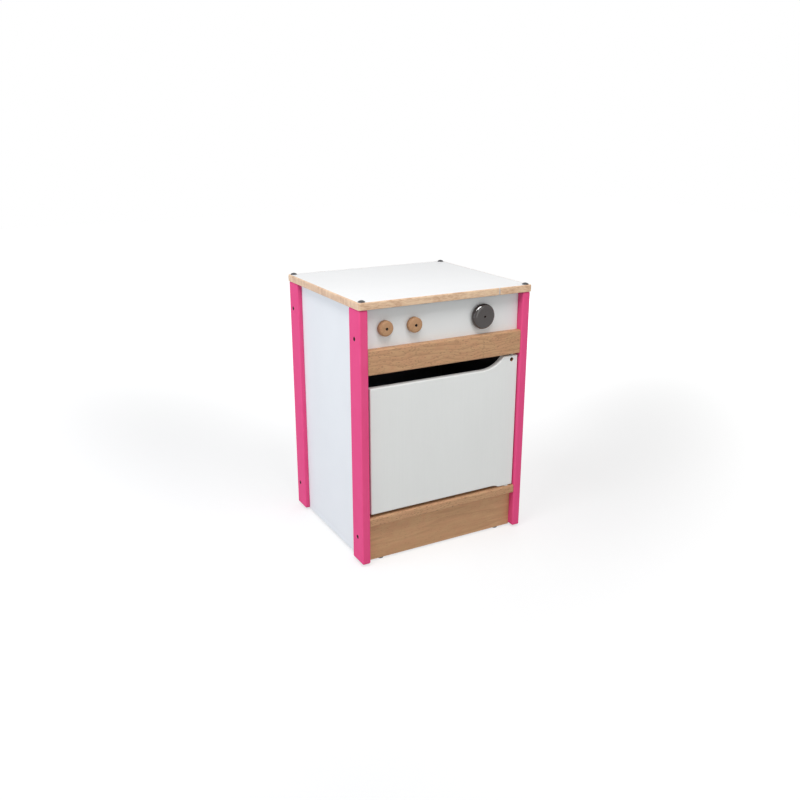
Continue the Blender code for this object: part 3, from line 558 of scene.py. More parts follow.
def rounded_outline(corners):
    """The points of an outline whose corners are (x, y, radius)."""
    points = []
    for index, (x, y, radius) in enumerate(corners):
        corner = Vector((x, y))
        arc = [corner]
        if radius:
            to_last = (Vector(corners[index - 1][:2]) - corner).normalized()
            to_next = (Vector(corners[(index + 1) % len(corners)][:2]) - corner).normalized()
            half = to_last.angle(to_next) / 2
            centre = corner + (to_last + to_next).normalized() * radius / math.sin(half)
            start = corner + to_last * radius / math.tan(half) - centre
            sweep = math.pi - 2 * half
            turn = math.copysign(sweep, to_last.cross(to_next) * -1)
            steps = math.ceil(sweep / ARC_STEP)
            arc = []
            for step in range(steps + 1):
                angle = turn * step / steps
                arc.append(centre + Vector((start.x * math.cos(angle) - start.y * math.sin(angle),
                                            start.x * math.sin(angle) + start.y * math.cos(angle))))
        points += [point for point in arc if not points or (point - points[-1]).length > SAME_POINT]
    return points


def oblong(low_u, low_v, high_u, high_v, *radii):
    """An oblong outline, with a radius for each corner in turn from the low one."""
    places = ((low_u, low_v), (high_u, low_v), (high_u, high_v), (low_u, high_v))
    return rounded_outline([(*place, radius) for place, radius in zip(places, radii)])


def drawn_in(points, distance):
    """A closed outline moved inwards by a distance, whichever way round it is listed."""
    area = sum(a.cross(b) for a, b in zip(points, points[1:] + points[:1]))
    handed = math.copysign(1, area)
    moved = []
    for index, point in enumerate(points):
        before = (point - points[index - 1]).normalized()
        after = (points[(index + 1) % len(points)] - point).normalized()
        inwards = Vector((-before.y - after.y, before.x + after.x)) * handed
        inwards.normalize()
        slant = max(inwards.dot(Vector((-before.y, before.x)) * handed), SHARPEST_SHARE)
        moved.append(point + inwards * distance / slant)
    return moved


def slab(points, low, high, rounding, steps, turn_to=lambda u, v, w: (u, v, w)):
    """A thickness with a drawn outline and both its rims rounded; turn_to lays it in its place."""
    levels = [(rounding * (1 - math.sin(math.pi / 2 * step / steps)),
               low + rounding * (1 - math.cos(math.pi / 2 * step / steps))) for step in range(steps + 1)]
    levels += [(inset, low + high - level) for inset, level in reversed(levels)]
    outlines = []
    for inset, level in levels:
        outline = drawn_in(points, inset) if inset else points
        outlines.append([turn_to(point.x, point.y, level) for point in outline])
    return skin(outlines)


pivot_x, pivot_y = middle_of("pivot_pin_upper").xy
for name, (foot_rounding, top_rounding), up, seat_depth, extra, wood in (
    ("front_rail", RAIL_EDGES, 1, RAIL_SEAT_DEPTH, rail_screw_bores(),
     beech("rail_beech", "X", RAIL_HEART, bend=RAIL_BEND, figure=0.6, fleck=0.8)),
    ("sill", SILL_EDGES, -1, SILL_SEAT_DEPTH, [],
     beech("sill_beech", "X", SILL_HEART, bend=RAIL_BEND, figure=0.6, fleck=0.9)),
):
    low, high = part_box(name)
    section = oblong(low.y, low.z, high.y, high.z, foot_rounding, BOARD_ARRIS, BOARD_ARRIS, top_rounding)
    shape = slab(section, low.x, high.x, END_ARRIS, END_STEPS, lambda u, v, w: (w, u, v))
    seat_z = low.z if up > 0 else high.z
    seat = turned(drill(BUSH_SEAT_RADIUS, seat_depth), (pivot_x, pivot_y, seat_z), (0, 0, -up))
    piece = worked(name + "_moulded", shape, wood, [seat, *extra])
    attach(piece, "carcass")
    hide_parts(name)

# POST BOLTS, RAIL SCREWS, TOP SCREWS AND KNOB SPINDLES
# Steel screws with cylindrical heads and hexagon sockets. The post bolts and the knobs' spindles are
# blackened, the rail screws and the top screws are zinc plated.

HEAD_EDGE = 0.0004
SOCKET_RADIUS = 0.00208
SOCKET_DEPTH = 0.0024
HEX_SIDES = 6
BOLT_HEAD = (0.0037, 0.0050, 0.0025)
SPINDLE_HEAD = (0.0044, 0.0036, 0.0022)
RAIL_SCREW_HEAD = (0.0040, 0.0024, 0.0018)
TOP_SCREW_HEAD = (0.0040, 0.0030, 0.0022)
BLACKENED = (0.016, 0.0155, 0.016, 1)
BLACKENED_WORN = (0.045, 0.043, 0.042, 1)
ZINC = (0.56, 0.57, 0.585, 1)
ZINC_DULL = (0.40, 0.415, 0.43, 1)
STEEL_BLOOM = (300, 300, 300)
TURNING_MARKS = (90, 90, 6000)
TURNING_DEPTH = 0.00002


def steel(name, tone, worn, roughness):
    """Plated or blackened steel with fine turning marks and a patchy bloom."""
    material, tree, place = new_finish(name, roughness, Metallic=1.0)
    bloom = noise(tree, place, STEEL_BLOOM, 3)
    marks = noise(tree, place, TURNING_MARKS, 2)
    return laid(material, ramp(tree, bloom, (0.42, tone), (0.72, worn)),
                spread(tree, marks, roughness - 0.08, roughness + 0.12), marks, TURNING_DEPTH)


def stand(piece, place, direction):
    """Put a turned piece at its place, with its head towards a direction."""
    piece.location = place
    piece.rotation_euler = Vector(direction).to_track_quat("Z", "Y").to_euler()


def screw(node, direction, finish, head_radius, head_height, shank_radius):
    """A socket-headed screw that fills the box of its CAD node, with its head towards a direction."""
    low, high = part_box(node)
    half = abs((high - low).dot(Vector(direction))) / 2
    profile = [*lip(head_radius, half, HEAD_EDGE, -1), (head_radius, half - head_height),
               (shank_radius, half - head_height), (shank_radius, HEAD_EDGE - half),
               (shank_radius - HEAD_EDGE, -half)]
    socket = turned([(SOCKET_RADIUS, half - SOCKET_DEPTH), (SOCKET_RADIUS, half + PAST_THE_FACE)],
                    steps=HEX_SIDES)
    piece = worked(node + "_turned", turned(profile), finish, [socket])
    stand(piece, (low + high) / 2, direction)
    return piece


black_steel = steel("blackened_steel", BLACKENED, BLACKENED_WORN, 0.4)
zinc_steel = steel("zinc_plated_steel", ZINC, ZINC_DULL, 0.34)
screws = []
for corner in CORNERS:
    outwards = (1 if corner.endswith("right") else -1, 0, 0)
    for level in LEVELS:
        screws.append(("post_bolt_" + corner + "_" + level, outwards, BOLT_HEAD, "carcass", False))
    screws.append(("top_screw_" + corner, (0, 0, 1), TOP_SCREW_HEAD, "carcass", True))
for side in SIDES:
    screws.append(("rail_screw_" + side, (0, 1, 0), RAIL_SCREW_HEAD, "carcass", True))
for knob in KNOBS:
    screws.append((knob + "_bolt", (0, 1, 0), SPINDLE_HEAD, knob, False))
for node, direction, head, body, plated in screws:
    piece = screw(node, direction, zinc_steel if plated else black_steel, *head)
    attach(piece, body)
    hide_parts(node)

# TOP BOARD
# The worktop: a board of 16 mm melamine, white on top and black below, held by a screw at each corner.
# Each screw hole has a shallow seat for its cap.

TOP_CORNER = 0.0020
CAP_SEAT_RADIUS = 0.0081
CAP_SEAT_DEPTH = 0.0002
TOP_SCREW_SINK = 0.0036
TOP_SCREW_REACH = 0.0555
TOP_SCREW_HEAD_HOLE = 0.0043
TOP_ARRIS = 0.0002

low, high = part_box("top_board")
outline = oblong(low.x, low.y, high.x, high.y, *[TOP_CORNER] * 4)
cutters = []
for corner in CORNERS:
    middle = middle_of("screw_cap_" + corner)
    seat = [(CAP_SEAT_RADIUS, PAST_THE_FACE), (CAP_SEAT_RADIUS, -CAP_SEAT_DEPTH),
            (TOP_SCREW_HEAD_HOLE, -CAP_SEAT_DEPTH), (TOP_SCREW_HEAD_HOLE, -TOP_SCREW_SINK),
            (TOP_SCREW_SHANK_RADIUS, -TOP_SCREW_SINK), (TOP_SCREW_SHANK_RADIUS, -TOP_SCREW_REACH)]
    cutters.append(turned(seat, (middle.x, middle.y, high.z)))
piece = worked("top_board_faced", slab(outline, low.z, high.z, TOP_ARRIS, CUT_STEPS), white_melamine,
               cutters)
face_inside(piece, (0, 0, -1))
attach(piece, "carcass")
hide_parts("top_board")

# EDGE BAND AND ITS JOINT
# One 3 mm strip of pale beech is glued round the top board and rounded over above and below.
# Its two ends meet in front, and a line of grey glue, a little sunk, fills the joint between them; its grey
# paints the shade of the gap.

BAND_THICKNESS = 0.0030
BAND_ROUNDINGS = (0.0014, 0.0028)
BAND_JOINT_FROM_RIGHT = 0.0882
BAND_JOINT_GAP = 0.0030
BAND_CORNER_STEPS = 12
GLUE_SUNK = 0.0007
GLUE_FIT = 0.00005
PALE = (0.81, 0.58, 0.385, 1)
PALE_DEEP = (0.70, 0.46, 0.295, 1)
PALE_FLECK = (0.56, 0.335, 0.20, 1)
BAND_FLECKS = (95, 95, 460)
BAND_END_STREAKS = (20, 330, 9)
BAND_CLOUD = (38, 38, 90)
BAND_END_FROM = 0.2150
BAND_END_WHOLE = 0.2170
# Grey tones for the glue that paint the shade of the sunk joint.
GLUE_PAINTED_SHADE = (0.55, 0.585, 0.65, 1)
GLUE_PAINTED_SHADE_DEEP = (0.48, 0.51, 0.56, 1)


def joint_side(x_side, gap):
    """The station at one side of a gap in the front of the band."""
    return Vector((joint_x + x_side * gap / 2, -inner_y)), Vector((0, -1))


def strip(stations, sunk=0):
    """Sweep the band's rounded section along stations of (place, outward direction)."""
    section = oblong(0, low.z + sunk, BAND_THICKNESS - sunk, high.z - sunk, 0, *BAND_ROUNDINGS, 0)
    return skin([[(*(place + outwards * point.x), point.y) for point in section]
                 for place, outwards in stations])


def band_beech():
    """Pale beech strip: level flecks on the front and back, upright streaks on the two ends."""
    material, tree, place = new_finish("pale_band_beech", 0.5, Coat_Weight=0.12, Coat_Roughness=0.35)
    level = noise(tree, place, BAND_FLECKS, 2, 0.6)
    upright = noise(tree, place, BAND_END_STREAKS, 3, 0.65)
    cloud = noise(tree, place, BAND_CLOUD, 2)
    sideways = add_node(tree, "SeparateXYZ", {"Vector": place}).outputs["X"]
    distance = add_node(tree, "Math", {0: sideways}, operation="ABSOLUTE").outputs[0]
    on_ends = spread(tree, distance, 0, 1, BAND_END_FROM, BAND_END_WHOLE)
    grain = blended(tree, on_ends, level, upright)
    tone = blended(tree, 0.35, grain, cloud)
    return laid(material, ramp(tree, tone, (0.4, PALE), (0.53, PALE_DEEP), (0.64, PALE_FLECK)),
                spread(tree, grain, 0.42, 0.56), grain, WOOD_RELIEF, 0.6)


low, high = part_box("top_edge_band")
inner_x = high.x - BAND_THICKNESS
inner_y = high.y - BAND_THICKNESS
joint_x = high.x - BAND_JOINT_FROM_RIGHT
stations = [joint_side(1, BAND_JOINT_GAP)]
for quarter, (x_side, y_side) in enumerate(((1, -1), (1, 1), (-1, 1), (-1, -1))):
    centre = Vector((x_side * (inner_x - TOP_CORNER), y_side * (inner_y - TOP_CORNER)))
    for step in range(BAND_CORNER_STEPS + 1):
        angle = (quarter - 1 + step / BAND_CORNER_STEPS) * math.pi / 2
        direction = Vector((math.cos(angle), math.sin(angle)))
        stations.append((centre + direction * TOP_CORNER, direction))
stations.append(joint_side(-1, BAND_JOINT_GAP))
piece = worked("top_edge_band_moulded", strip(stations), band_beech())
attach(piece, "carcass")
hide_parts("top_edge_band")

glue_ends = [joint_side(x_side, BAND_JOINT_GAP - 2 * GLUE_FIT) for x_side in (1, -1)]
piece = worked("band_joint_glue", strip(glue_ends, GLUE_SUNK),
               melamine("glue_with_painted_shade", GLUE_PAINTED_SHADE, GLUE_PAINTED_SHADE_DEEP, 0.5))
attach(piece, "carcass")

# SCREW CAPS
# Four domed caps of dark moulded plastic, pressed over the heads of the top screws into their seats.

CAP_RIM = 0.0008
CAP_LEDGE = 0.0003
DOME_STEPS = 14
CROWN_SHARE = 0.02
DARK_PLASTIC = (0.043, 0.042, 0.045, 1)
DARK_PLASTIC_PALE = (0.062, 0.06, 0.064, 1)
MOULD_FLOW = (160, 160, 160)
MOULD_SPARK = (2600, 2600, 2600)
SPARK_DEPTH = 0.00004


def moulded_plastic(name, tone, pale, roughness):
    """Plastic from a lightly spark-eroded mould."""
    material, tree, place = new_finish(name, roughness)
    flow = noise(tree, place, MOULD_FLOW, 3)
    spark = noise(tree, place, MOULD_SPARK, 1)
    return laid(material, ramp(tree, flow, (0.35, tone), (0.7, pale)),
                spread(tree, flow, roughness - 0.05, roughness + 0.08), spark, SPARK_DEPTH)


dark_plastic = moulded_plastic("dark_moulded_plastic", DARK_PLASTIC, DARK_PLASTIC_PALE, 0.4)
for corner in CORNERS:
    low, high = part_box("screw_cap_" + corner)
    radius = (high.x - low.x) / 2
    height = high.z - low.z
    rise = height - CAP_RIM
    ball = (radius ** 2 + rise ** 2) / (2 * rise)
    widest = math.asin((radius - CAP_LEDGE) / ball)
    shares = [1 - (1 - CROWN_SHARE) * step / DOME_STEPS for step in range(DOME_STEPS + 1)]
    dome = [(ball * math.sin(widest * share), height - ball * (1 - math.cos(widest * share)))
            for share in shares]
    profile = [(radius - CAP_LEDGE, 0), (radius, CAP_LEDGE), (radius, CAP_RIM - CAP_LEDGE / 2), *dome]
    piece = worked("screw_cap_" + corner + "_moulded", turned(profile), dark_plastic)
    piece.location = (*middle_of("screw_cap_" + corner).xy, low.z)
    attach(piece, "carcass")
    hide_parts("screw_cap_" + corner)

# DOOR
# A 16 mm plywood door, sawn to an outline with a raised horn and a lowered toe on its hinge side.
# Its rims are rounded over, it is sprayed white, and an access hole is bored into the horn after that.

HORN_DROP = 0.0265
HORN_LENGTH = 0.0360
HORN_SWEEP = 0.0580
HORN_SHOULDER = 0.0060
TOE_LIFT = 0.0053
TOE_LENGTH = 0.0380
TOE_SWEEP = 0.0200
TOE_SHOULDER = 0.0100
DOOR_CORNER = 0.0030
DOOR_ROUNDING = 0.0028
ACCESS_HOLE_RADIUS = 0.0040
ACCESS_HOLE_DEPTH = 0.0125
ACCESS_HOLE_DROP = 0.0089
PIN_BORE = 0.0028
DOOR_WHITE = (0.875, 0.878, 0.868, 1)
DOOR_WHITE_THIN = (0.835, 0.838, 0.826, 1)
VENEER_GRAIN = (230, 230, 5)
VENEER_PORES = (1500, 1500, 60)
SPRAY_CLOUD = (12, 12, 5)
VENEER_DEPTH = 0.00005
RAW_WOOD = (0.46, 0.185, 0.062, 1)
RAW_WOOD_DEEP = (0.16, 0.058, 0.022, 1)


def sweeping_step(start, end, end_radius):
    """Two (x, y, radius) corners that join two level edges in one smooth S."""
    run = end[0] - start[0]
    half_slope = math.atan2(abs(end[1] - start[1]), abs(run))
    start_radius = abs(run) / math.sin(2 * half_slope) - end_radius
    first_x = start[0] + math.copysign(start_radius * math.tan(half_slope), run)
    second_x = end[0] - math.copysign(end_radius * math.tan(half_slope), run)
    return [(first_x, start[1], start_radius), (second_x, end[1], end_radius)]


def door_lacquer():
    """White lacquer on plywood: the upright grain of the face veneer shows faintly in tone and relief."""
    material, tree, place = new_finish("door_white_lacquer", 0.45, Specular_IOR_Level=0.35)
    veneer = noise(tree, place, VENEER_GRAIN, 3, 0.6)
    pores = noise(tree, place, VENEER_PORES, 2)
    cloud = noise(tree, place, SPRAY_CLOUD, 3)
    tone = blended(tree, 0.45, blended(tree, 0.4, veneer, pores), cloud)
    return laid(material, ramp(tree, tone, (0.32, DOOR_WHITE_THIN), (0.66, DOOR_WHITE)),
                spread(tree, cloud, 0.4, 0.52), blended(tree, 0.5, veneer, pores), VENEER_DEPTH)


low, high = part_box("door")
toe = sweeping_step((high.x - TOE_LENGTH - TOE_SWEEP, low.z + TOE_LIFT), (high.x - TOE_LENGTH, low.z),
                    TOE_SHOULDER)
horn = sweeping_step((high.x - HORN_LENGTH - HORN_SWEEP, high.z - HORN_DROP),
                     (high.x - HORN_LENGTH, high.z), HORN_SHOULDER)
outline = rounded_outline([(low.x, low.z + TOE_LIFT, DOOR_CORNER), *toe, (high.x, low.z, DOOR_CORNER),
                           (high.x, high.z, DOOR_CORNER), *reversed(horn),
                           (low.x, high.z - HORN_DROP, DOOR_CORNER)])
shape = slab(outline, low.y, high.y, DOOR_ROUNDING, ROUNDING_STEPS, lambda u, v, w: (u, w, v))
hole_place = (pivot_x, low.y, high.z - ACCESS_HOLE_DROP)
cutters = [turned(drill(ACCESS_HOLE_RADIUS, ACCESS_HOLE_DEPTH), hole_place, (0, -1, 0))]
for foot, head in ((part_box("pivot_pin_upper")[0].z - FIT, high.z + PAST_THE_FACE),
                   (low.z - PAST_THE_FACE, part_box("pivot_pin_lower")[1].z + FIT)):
    cutters.append(turned([(PIN_BORE, foot), (PIN_BORE, head)], (pivot_x, pivot_y, 0)))
piece = worked("door_sprayed", shape, door_lacquer(), cutters)
line_bore(piece, hole_place, (0, -1, 0), ACCESS_HOLE_RADIUS + HOLE_LIP, ACCESS_HOLE_DEPTH + FIT,
          raw_wood("bored_wood", RAW_WOOD, RAW_WOOD_DEEP))
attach(piece, "door")
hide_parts("door")

# DOOR PIVOT
# A blackened steel pin in each lug of the door turns in a flanged nylon bush.
# The upper bush hangs in the rail, and the door stands on the flange of the lower one in the sill.

PIN_EDGE = 0.0004
BUSH_WALL = 0.0012
BUSH_BORE = 0.0028
BUSH_EDGE = 0.0003
NYLON = (0.72, 0.71, 0.665, 1)
NYLON_CLOUD = (0.66, 0.65, 0.60, 1)

white_nylon = moulded_plastic("white_nylon", NYLON, NYLON_CLOUD, 0.45)
for name, flange_at_foot in (("upper", True), ("lower", False)):
    low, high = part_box("pivot_pin_" + name)
    radius = (high.x - low.x) / 2
    half = (high.z - low.z) / 2
    profile = [(radius - PIN_EDGE, -half), (radius, PIN_EDGE - half), (radius, half - PIN_EDGE),
               (radius - PIN_EDGE, half)]
    piece = worked("pivot_pin_" + name + "_turned", turned(profile), black_steel)
    piece.location = (low + high) / 2
    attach(piece, "door")
    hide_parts("pivot_pin_" + name)

    low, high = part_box("pivot_bush_" + name)
    flange_radius = (high.x - low.x) / 2
    length = high.z - low.z
    barrel_radius = BUSH_BORE + BUSH_WALL
    face_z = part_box("front_rail")[0].z if flange_at_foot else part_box("sill")[1].z
    flange = (face_z - low.z if flange_at_foot else high.z - face_z) - FIT
    profile = [
        (BUSH_BORE + BUSH_EDGE, 0),
        (flange_radius - BUSH_EDGE, 0),
        (flange_radius, BUSH_EDGE),
        (flange_radius, flange),
        (barrel_radius, flange),
        (barrel_radius, length - BUSH_EDGE),
        (barrel_radius - BUSH_EDGE, length),
        (BUSH_BORE, length),
        (BUSH_BORE, BUSH_EDGE),
    ]
    direction = (0, 0, 1) if flange_at_foot else (0, 0, -1)
    piece = worked("pivot_bush_" + name + "_moulded", turned(profile, direction=direction, bored=True),
                   white_nylon)
    piece.location = (pivot_x, pivot_y, low.z if flange_at_foot else high.z)
    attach(piece, "carcass")
    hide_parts("pivot_bush_" + name)

# CATCH AND STRIKE PLATE
# A magnetic catch in a dark plastic case is screwed to the inner side of the left front post.
# Its two pole strips hold a zinc plated plate, which is screwed to the back of the door.

CATCH_FLANGE = 0.0090
CATCH_FLANGE_THICKNESS = 0.0025
CATCH_ROUNDING = 0.0015
CATCH_RIM = 0.0005
POLE_LENGTH = 0.0300
POLE_THICKNESS = 0.0012
POLE_DEPTH = 0.0060
POLE_PLACES = (0.0040, 0.0090)
POLE_FIT = 0.0001
POLE_EDGE = 0.0002
CATCH_SCREW_RADIUS = 0.0028
CATCH_SCREW_HEAD = 0.0016
CATCH_SCREW_DOME = 0.00128
CATCH_SCREW_LENGTH = 0.0100
CATCH_SCREW_SHANK = 0.0013
STRIKE_CORNER = 0.0020
STRIKE_RIM = 0.0003
RIM_STEPS = 3
STRIKE_SCREW_RADIUS = 0.0030
STRIKE_SCREW_SHANK = 0.0014
STRIKE_SCREW_LENGTH = 0.0090
COUNTERSINK = 0.0008
CROSS_WIDTH = 0.0008
CROSS_LENGTH = 0.0030
CROSS_DEPTH = 0.0007


def cross_slots(top):
    """Cutters for a cross recess in the head of a screw that points along Z."""
    reach = CROSS_LENGTH / 2
    width = CROSS_WIDTH / 2
    return [box_shape((-x, -y, top - CROSS_DEPTH), (x, y, top + PAST_THE_FACE), POLE_EDGE, CUT_STEPS)
            for x, y in ((reach, width), (width, reach))]


low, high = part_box("door_catch")
wall_x = low.x
outline = rounded_outline([
    (low.z, wall_x, 0),
    (high.z, wall_x, 0),
    (high.z, wall_x + CATCH_FLANGE_THICKNESS, CATCH_RIM),
    (high.z - CATCH_FLANGE, wall_x + CATCH_FLANGE_THICKNESS, CATCH_RIM),
    (high.z - CATCH_FLANGE, high.x, CATCH_ROUNDING),
    (low.z + CATCH_FLANGE, high.x, CATCH_ROUNDING),
    (low.z + CATCH_FLANGE, wall_x + CATCH_FLANGE_THICKNESS, CATCH_RIM),
    (low.z, wall_x + CATCH_FLANGE_THICKNESS, CATCH_RIM),
])
middle = (low + high) / 2
cutters = []
for place in POLE_PLACES:
    pole_low = Vector((wall_x + place - POLE_THICKNESS / 2, low.y, middle.z - POLE_LENGTH / 2))
    pole_high = Vector((wall_x + place + POLE_THICKNESS / 2, low.y + POLE_DEPTH,
                        middle.z + POLE_LENGTH / 2))
    room = Vector((POLE_FIT, PAST_THE_FACE, POLE_FIT))
    cutters.append(box_shape(pole_low - room, pole_high + Vector((POLE_FIT,) * 3), POLE_EDGE, CUT_STEPS))
    piece = worked("catch_pole_" + str(len(cutters)), box_shape(pole_low, pole_high, POLE_EDGE, END_STEPS),
                   zinc_steel)
    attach(piece, "carcass")
for end, screw_z in (("lower", low.z + CATCH_FLANGE / 2), ("upper", high.z - CATCH_FLANGE / 2)):
    screw_place = Vector((wall_x + CATCH_FLANGE_THICKNESS, middle.y, screw_z))
    shank_room = CATCH_SCREW_SHANK + POLE_FIT
    cutters.append(turned([(shank_room, -CATCH_SCREW_LENGTH), (shank_room, PAST_THE_FACE)],
                          screw_place, (1, 0, 0)))
    head = rounded_outline([(0, -CATCH_SCREW_LENGTH, 0), (CATCH_SCREW_SHANK, -CATCH_SCREW_LENGTH, 0),
                            (CATCH_SCREW_SHANK, POLE_FIT, 0), (CATCH_SCREW_RADIUS, POLE_FIT, 0),
                            (CATCH_SCREW_RADIUS, CATCH_SCREW_HEAD, CATCH_SCREW_DOME),
                            (0, CATCH_SCREW_HEAD, 0)])[1:-1]
    head.append(Vector((CROSS_WIDTH / 2, CATCH_SCREW_HEAD)))
    piece = worked("catch_screw_" + end, turned(head), zinc_steel, cross_slots(CATCH_SCREW_HEAD))
    stand(piece, screw_place, (1, 0, 0))
    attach(piece, "carcass")
shape = slab(outline, low.y, high.y, CATCH_RIM, RIM_STEPS, lambda u, v, w: (v, w, u))
piece = worked("door_catch_moulded", shape, dark_plastic, cutters)
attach(piece, "carcass")
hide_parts("door_catch")

low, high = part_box("strike_plate")
middle = (low + high) / 2
outline = oblong(low.x, low.z, high.x, high.z, *[STRIKE_CORNER] * 4)
screw_place = (middle.x, high.y, middle.z)
countersunk = [(STRIKE_SCREW_RADIUS, 0), (STRIKE_SCREW_RADIUS - COUNTERSINK, -COUNTERSINK),
               (STRIKE_SCREW_SHANK, -COUNTERSINK), (STRIKE_SCREW_SHANK, -STRIKE_SCREW_LENGTH)]
room = [(STRIKE_SCREW_RADIUS + POLE_FIT, PAST_THE_FACE)]
room += [(radius + POLE_FIT, height) for radius, height in countersunk]
shape = slab(outline, low.y, high.y, STRIKE_RIM, RIM_STEPS, lambda u, v, w: (u, w, v))
piece = worked("strike_plate_stamped", shape, zinc_steel, [turned(room, screw_place, (0, 1, 0))])
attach(piece, "door")
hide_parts("strike_plate")
piece = worked("strike_screw", turned(countersunk), zinc_steel, cross_slots(0))
stand(piece, (middle.x, high.y - POLE_FIT, middle.z), (0, 1, 0))
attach(piece, "door")

# KNOBS AND DIAL
# Two small knobs are turned from beech, with a groove that sets a thin back flange apart from the grip.
# The large dial is turned from beech too, and dipped in a dark gloss lacquer before it is bored.

KNOB_EDGES = (0.0010, 0.0050)
DIAL_EDGES = (0.0055, 0.0080)
GROOVE_FROM_BACK = 0.0036
GROOVE_WIDTH = 0.0016
GROOVE_DEPTH = 0.0012
GROOVE_EDGE = 0.0004
BORE_LIP = 0.0007
SHADED_BORE_LIP = 0.00063
KNOB_HEART = (0, 0, -0.05)
KNOB_STEPS = 96
KNOB_TONES = ((0.55, 0.318, 0.168, 1), (0.545, 0.30, 0.16, 1), (0.41, 0.218, 0.108, 1),
              (0.25, 0.12, 0.058, 1))
DARK_LACQUER = (0.017, 0.007, 0.005, 1)
DARK_LACQUER_PALE = (0.024, 0.013, 0.010, 1)
DARK_LACQUER_SPECK = (0.045, 0.035, 0.032, 1)
LACQUER_CLOUD = (60, 60, 60)
LACQUER_FLOW = (150, 150, 150)
LACQUER_DUST = (2600, 2600, 2600)
GLOSS_DEPTH = 0.00006


def knob_section(bore, radius, thickness, back_edge, front_edge, grooved):
    """Half the section of a bored knob, from the back of its bore round to the front of its bore."""
    corners = [(bore + BORE_LIP, 0, 0), (radius, 0, back_edge)]
    if grooved:
        floor = radius - GROOVE_DEPTH
        head = GROOVE_FROM_BACK + GROOVE_WIDTH
        corners += [(radius, GROOVE_FROM_BACK, GROOVE_EDGE), (floor, GROOVE_FROM_BACK, GROOVE_EDGE),
                    (floor, head, GROOVE_EDGE), (radius, head, GROOVE_EDGE)]
    corners.append((radius, thickness, front_edge))
    corners += [(*point, 0) for point in lip(bore, thickness, BORE_LIP, 1)]
    return [tuple(point) for point in rounded_outline([*corners, (bore, BORE_LIP, 0)])]


def gloss_lacquer():
    """Dark lacquer with a deep gloss, not quite level over the turned wood."""
    material, tree, place = new_finish("dark_gloss_lacquer", 0.3, Specular_IOR_Level=0, Coat_Weight=1.0,
                                       Coat_IOR=1.72, Coat_Roughness=0.05)
    cloud = noise(tree, place, LACQUER_CLOUD, 3)
    flow = noise(tree, place, LACQUER_FLOW, 1)
    dust = noise(tree, place, LACQUER_DUST, 1)
    specks = spread(tree, dust, 0, 1, 0.68, 0.76)
    tone = ramp(tree, cloud, (0.35, DARK_LACQUER), (0.7, DARK_LACQUER_PALE))
    return laid(material, blended(tree, specks, tone, DARK_LACQUER_SPECK),
                spread(tree, cloud, 0.26, 0.36), flow, GLOSS_DEPTH)


knob_beech = beech("knob_beech", "X", KNOB_HEART, KNOB_TONES, figure=0.35, fleck=0.4)
dial_lacquer = gloss_lacquer()
for knob, (back_edge, front_edge), grooved, finish, slot in (
    ("knob_left", KNOB_EDGES, True, knob_beech, "beech"),
    ("knob_right", KNOB_EDGES, True, knob_beech, "beech"),
    ("dial", DIAL_EDGES, False, dial_lacquer, "dark_lacquer"),
):
    low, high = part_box(knob)
    radius = (high.x - low.x) / 2
    thickness = high.y - low.y
    section = knob_section(SPINDLE_BORE, radius, thickness, back_edge, front_edge, grooved)
    piece = worked(knob + "_turned", turned(section, bored=True, steps=KNOB_STEPS), finish)
    stand(piece, ((low.x + high.x) / 2, high.y, (low.z + high.z) / 2), (0, -1, 0))
    # The bore is lined with very dark bored wood: painted shade in the bore.
    refaced(piece, shaded_bore, lambda face: face.center.xy.length < SPINDLE_BORE + SHADED_BORE_LIP)
    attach(piece, knob)
    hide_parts(knob)
glossy_dial = piece

# SPACERS AND WASHERS
# Thin nylon rings on each knob's spindle: a spacer between the knob and the panel, and a washer behind.

RING_BORE = 0.0025
RING_EDGE = 0.0002

for knob in KNOBS:
    for part in ("_spacer", "_washer"):
        low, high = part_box(knob + part)
        radius = (high.x - low.x) / 2
        half = (high.y - low.y) / 2
        profile = oblong(RING_BORE, -half, radius, half, 0, RING_EDGE, RING_EDGE, 0)
        piece = worked(knob + part + "_stamped", turned(profile, bored=True), white_nylon)
        stand(piece, (low + high) / 2, (0, -1, 0))
        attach(piece, "carcass")
        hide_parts(knob + part)

# GLIDES
# Four grey plastic discs on nails, driven into the feet of the plinth and the back panel.

GLIDE_HEIGHT = 0.0036
GLIDE_FOOT = 0.0010
GLIDE_TOP_EDGE = 0.0004
GLIDE_NAIL_RADIUS = 0.0012
GLIDE_GREY = (0.13, 0.135, 0.15, 1)
GLIDE_GREY_PALE = (0.17, 0.175, 0.19, 1)

grey_plastic = moulded_plastic("grey_glide_plastic", GLIDE_GREY, GLIDE_GREY_PALE, 0.45)
for corner in CORNERS:
    low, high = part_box("glide_" + corner)
    radius = (high.x - low.x) / 2
    profile = rounded_outline([(0, 0, 0), (radius, 0, GLIDE_FOOT), (radius, GLIDE_HEIGHT, GLIDE_TOP_EDGE),
                               (GLIDE_NAIL_RADIUS, GLIDE_HEIGHT, 0), (GLIDE_NAIL_RADIUS, high.z, 0),
                               (0, high.z, 0)])[1:-1]
    piece = worked("glide_" + corner + "_moulded", turned(profile), grey_plastic)
    piece.location = (*middle_of("glide_" + corner).xy, low.z)
    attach(piece, "carcass")
    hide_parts("glide_" + corner)
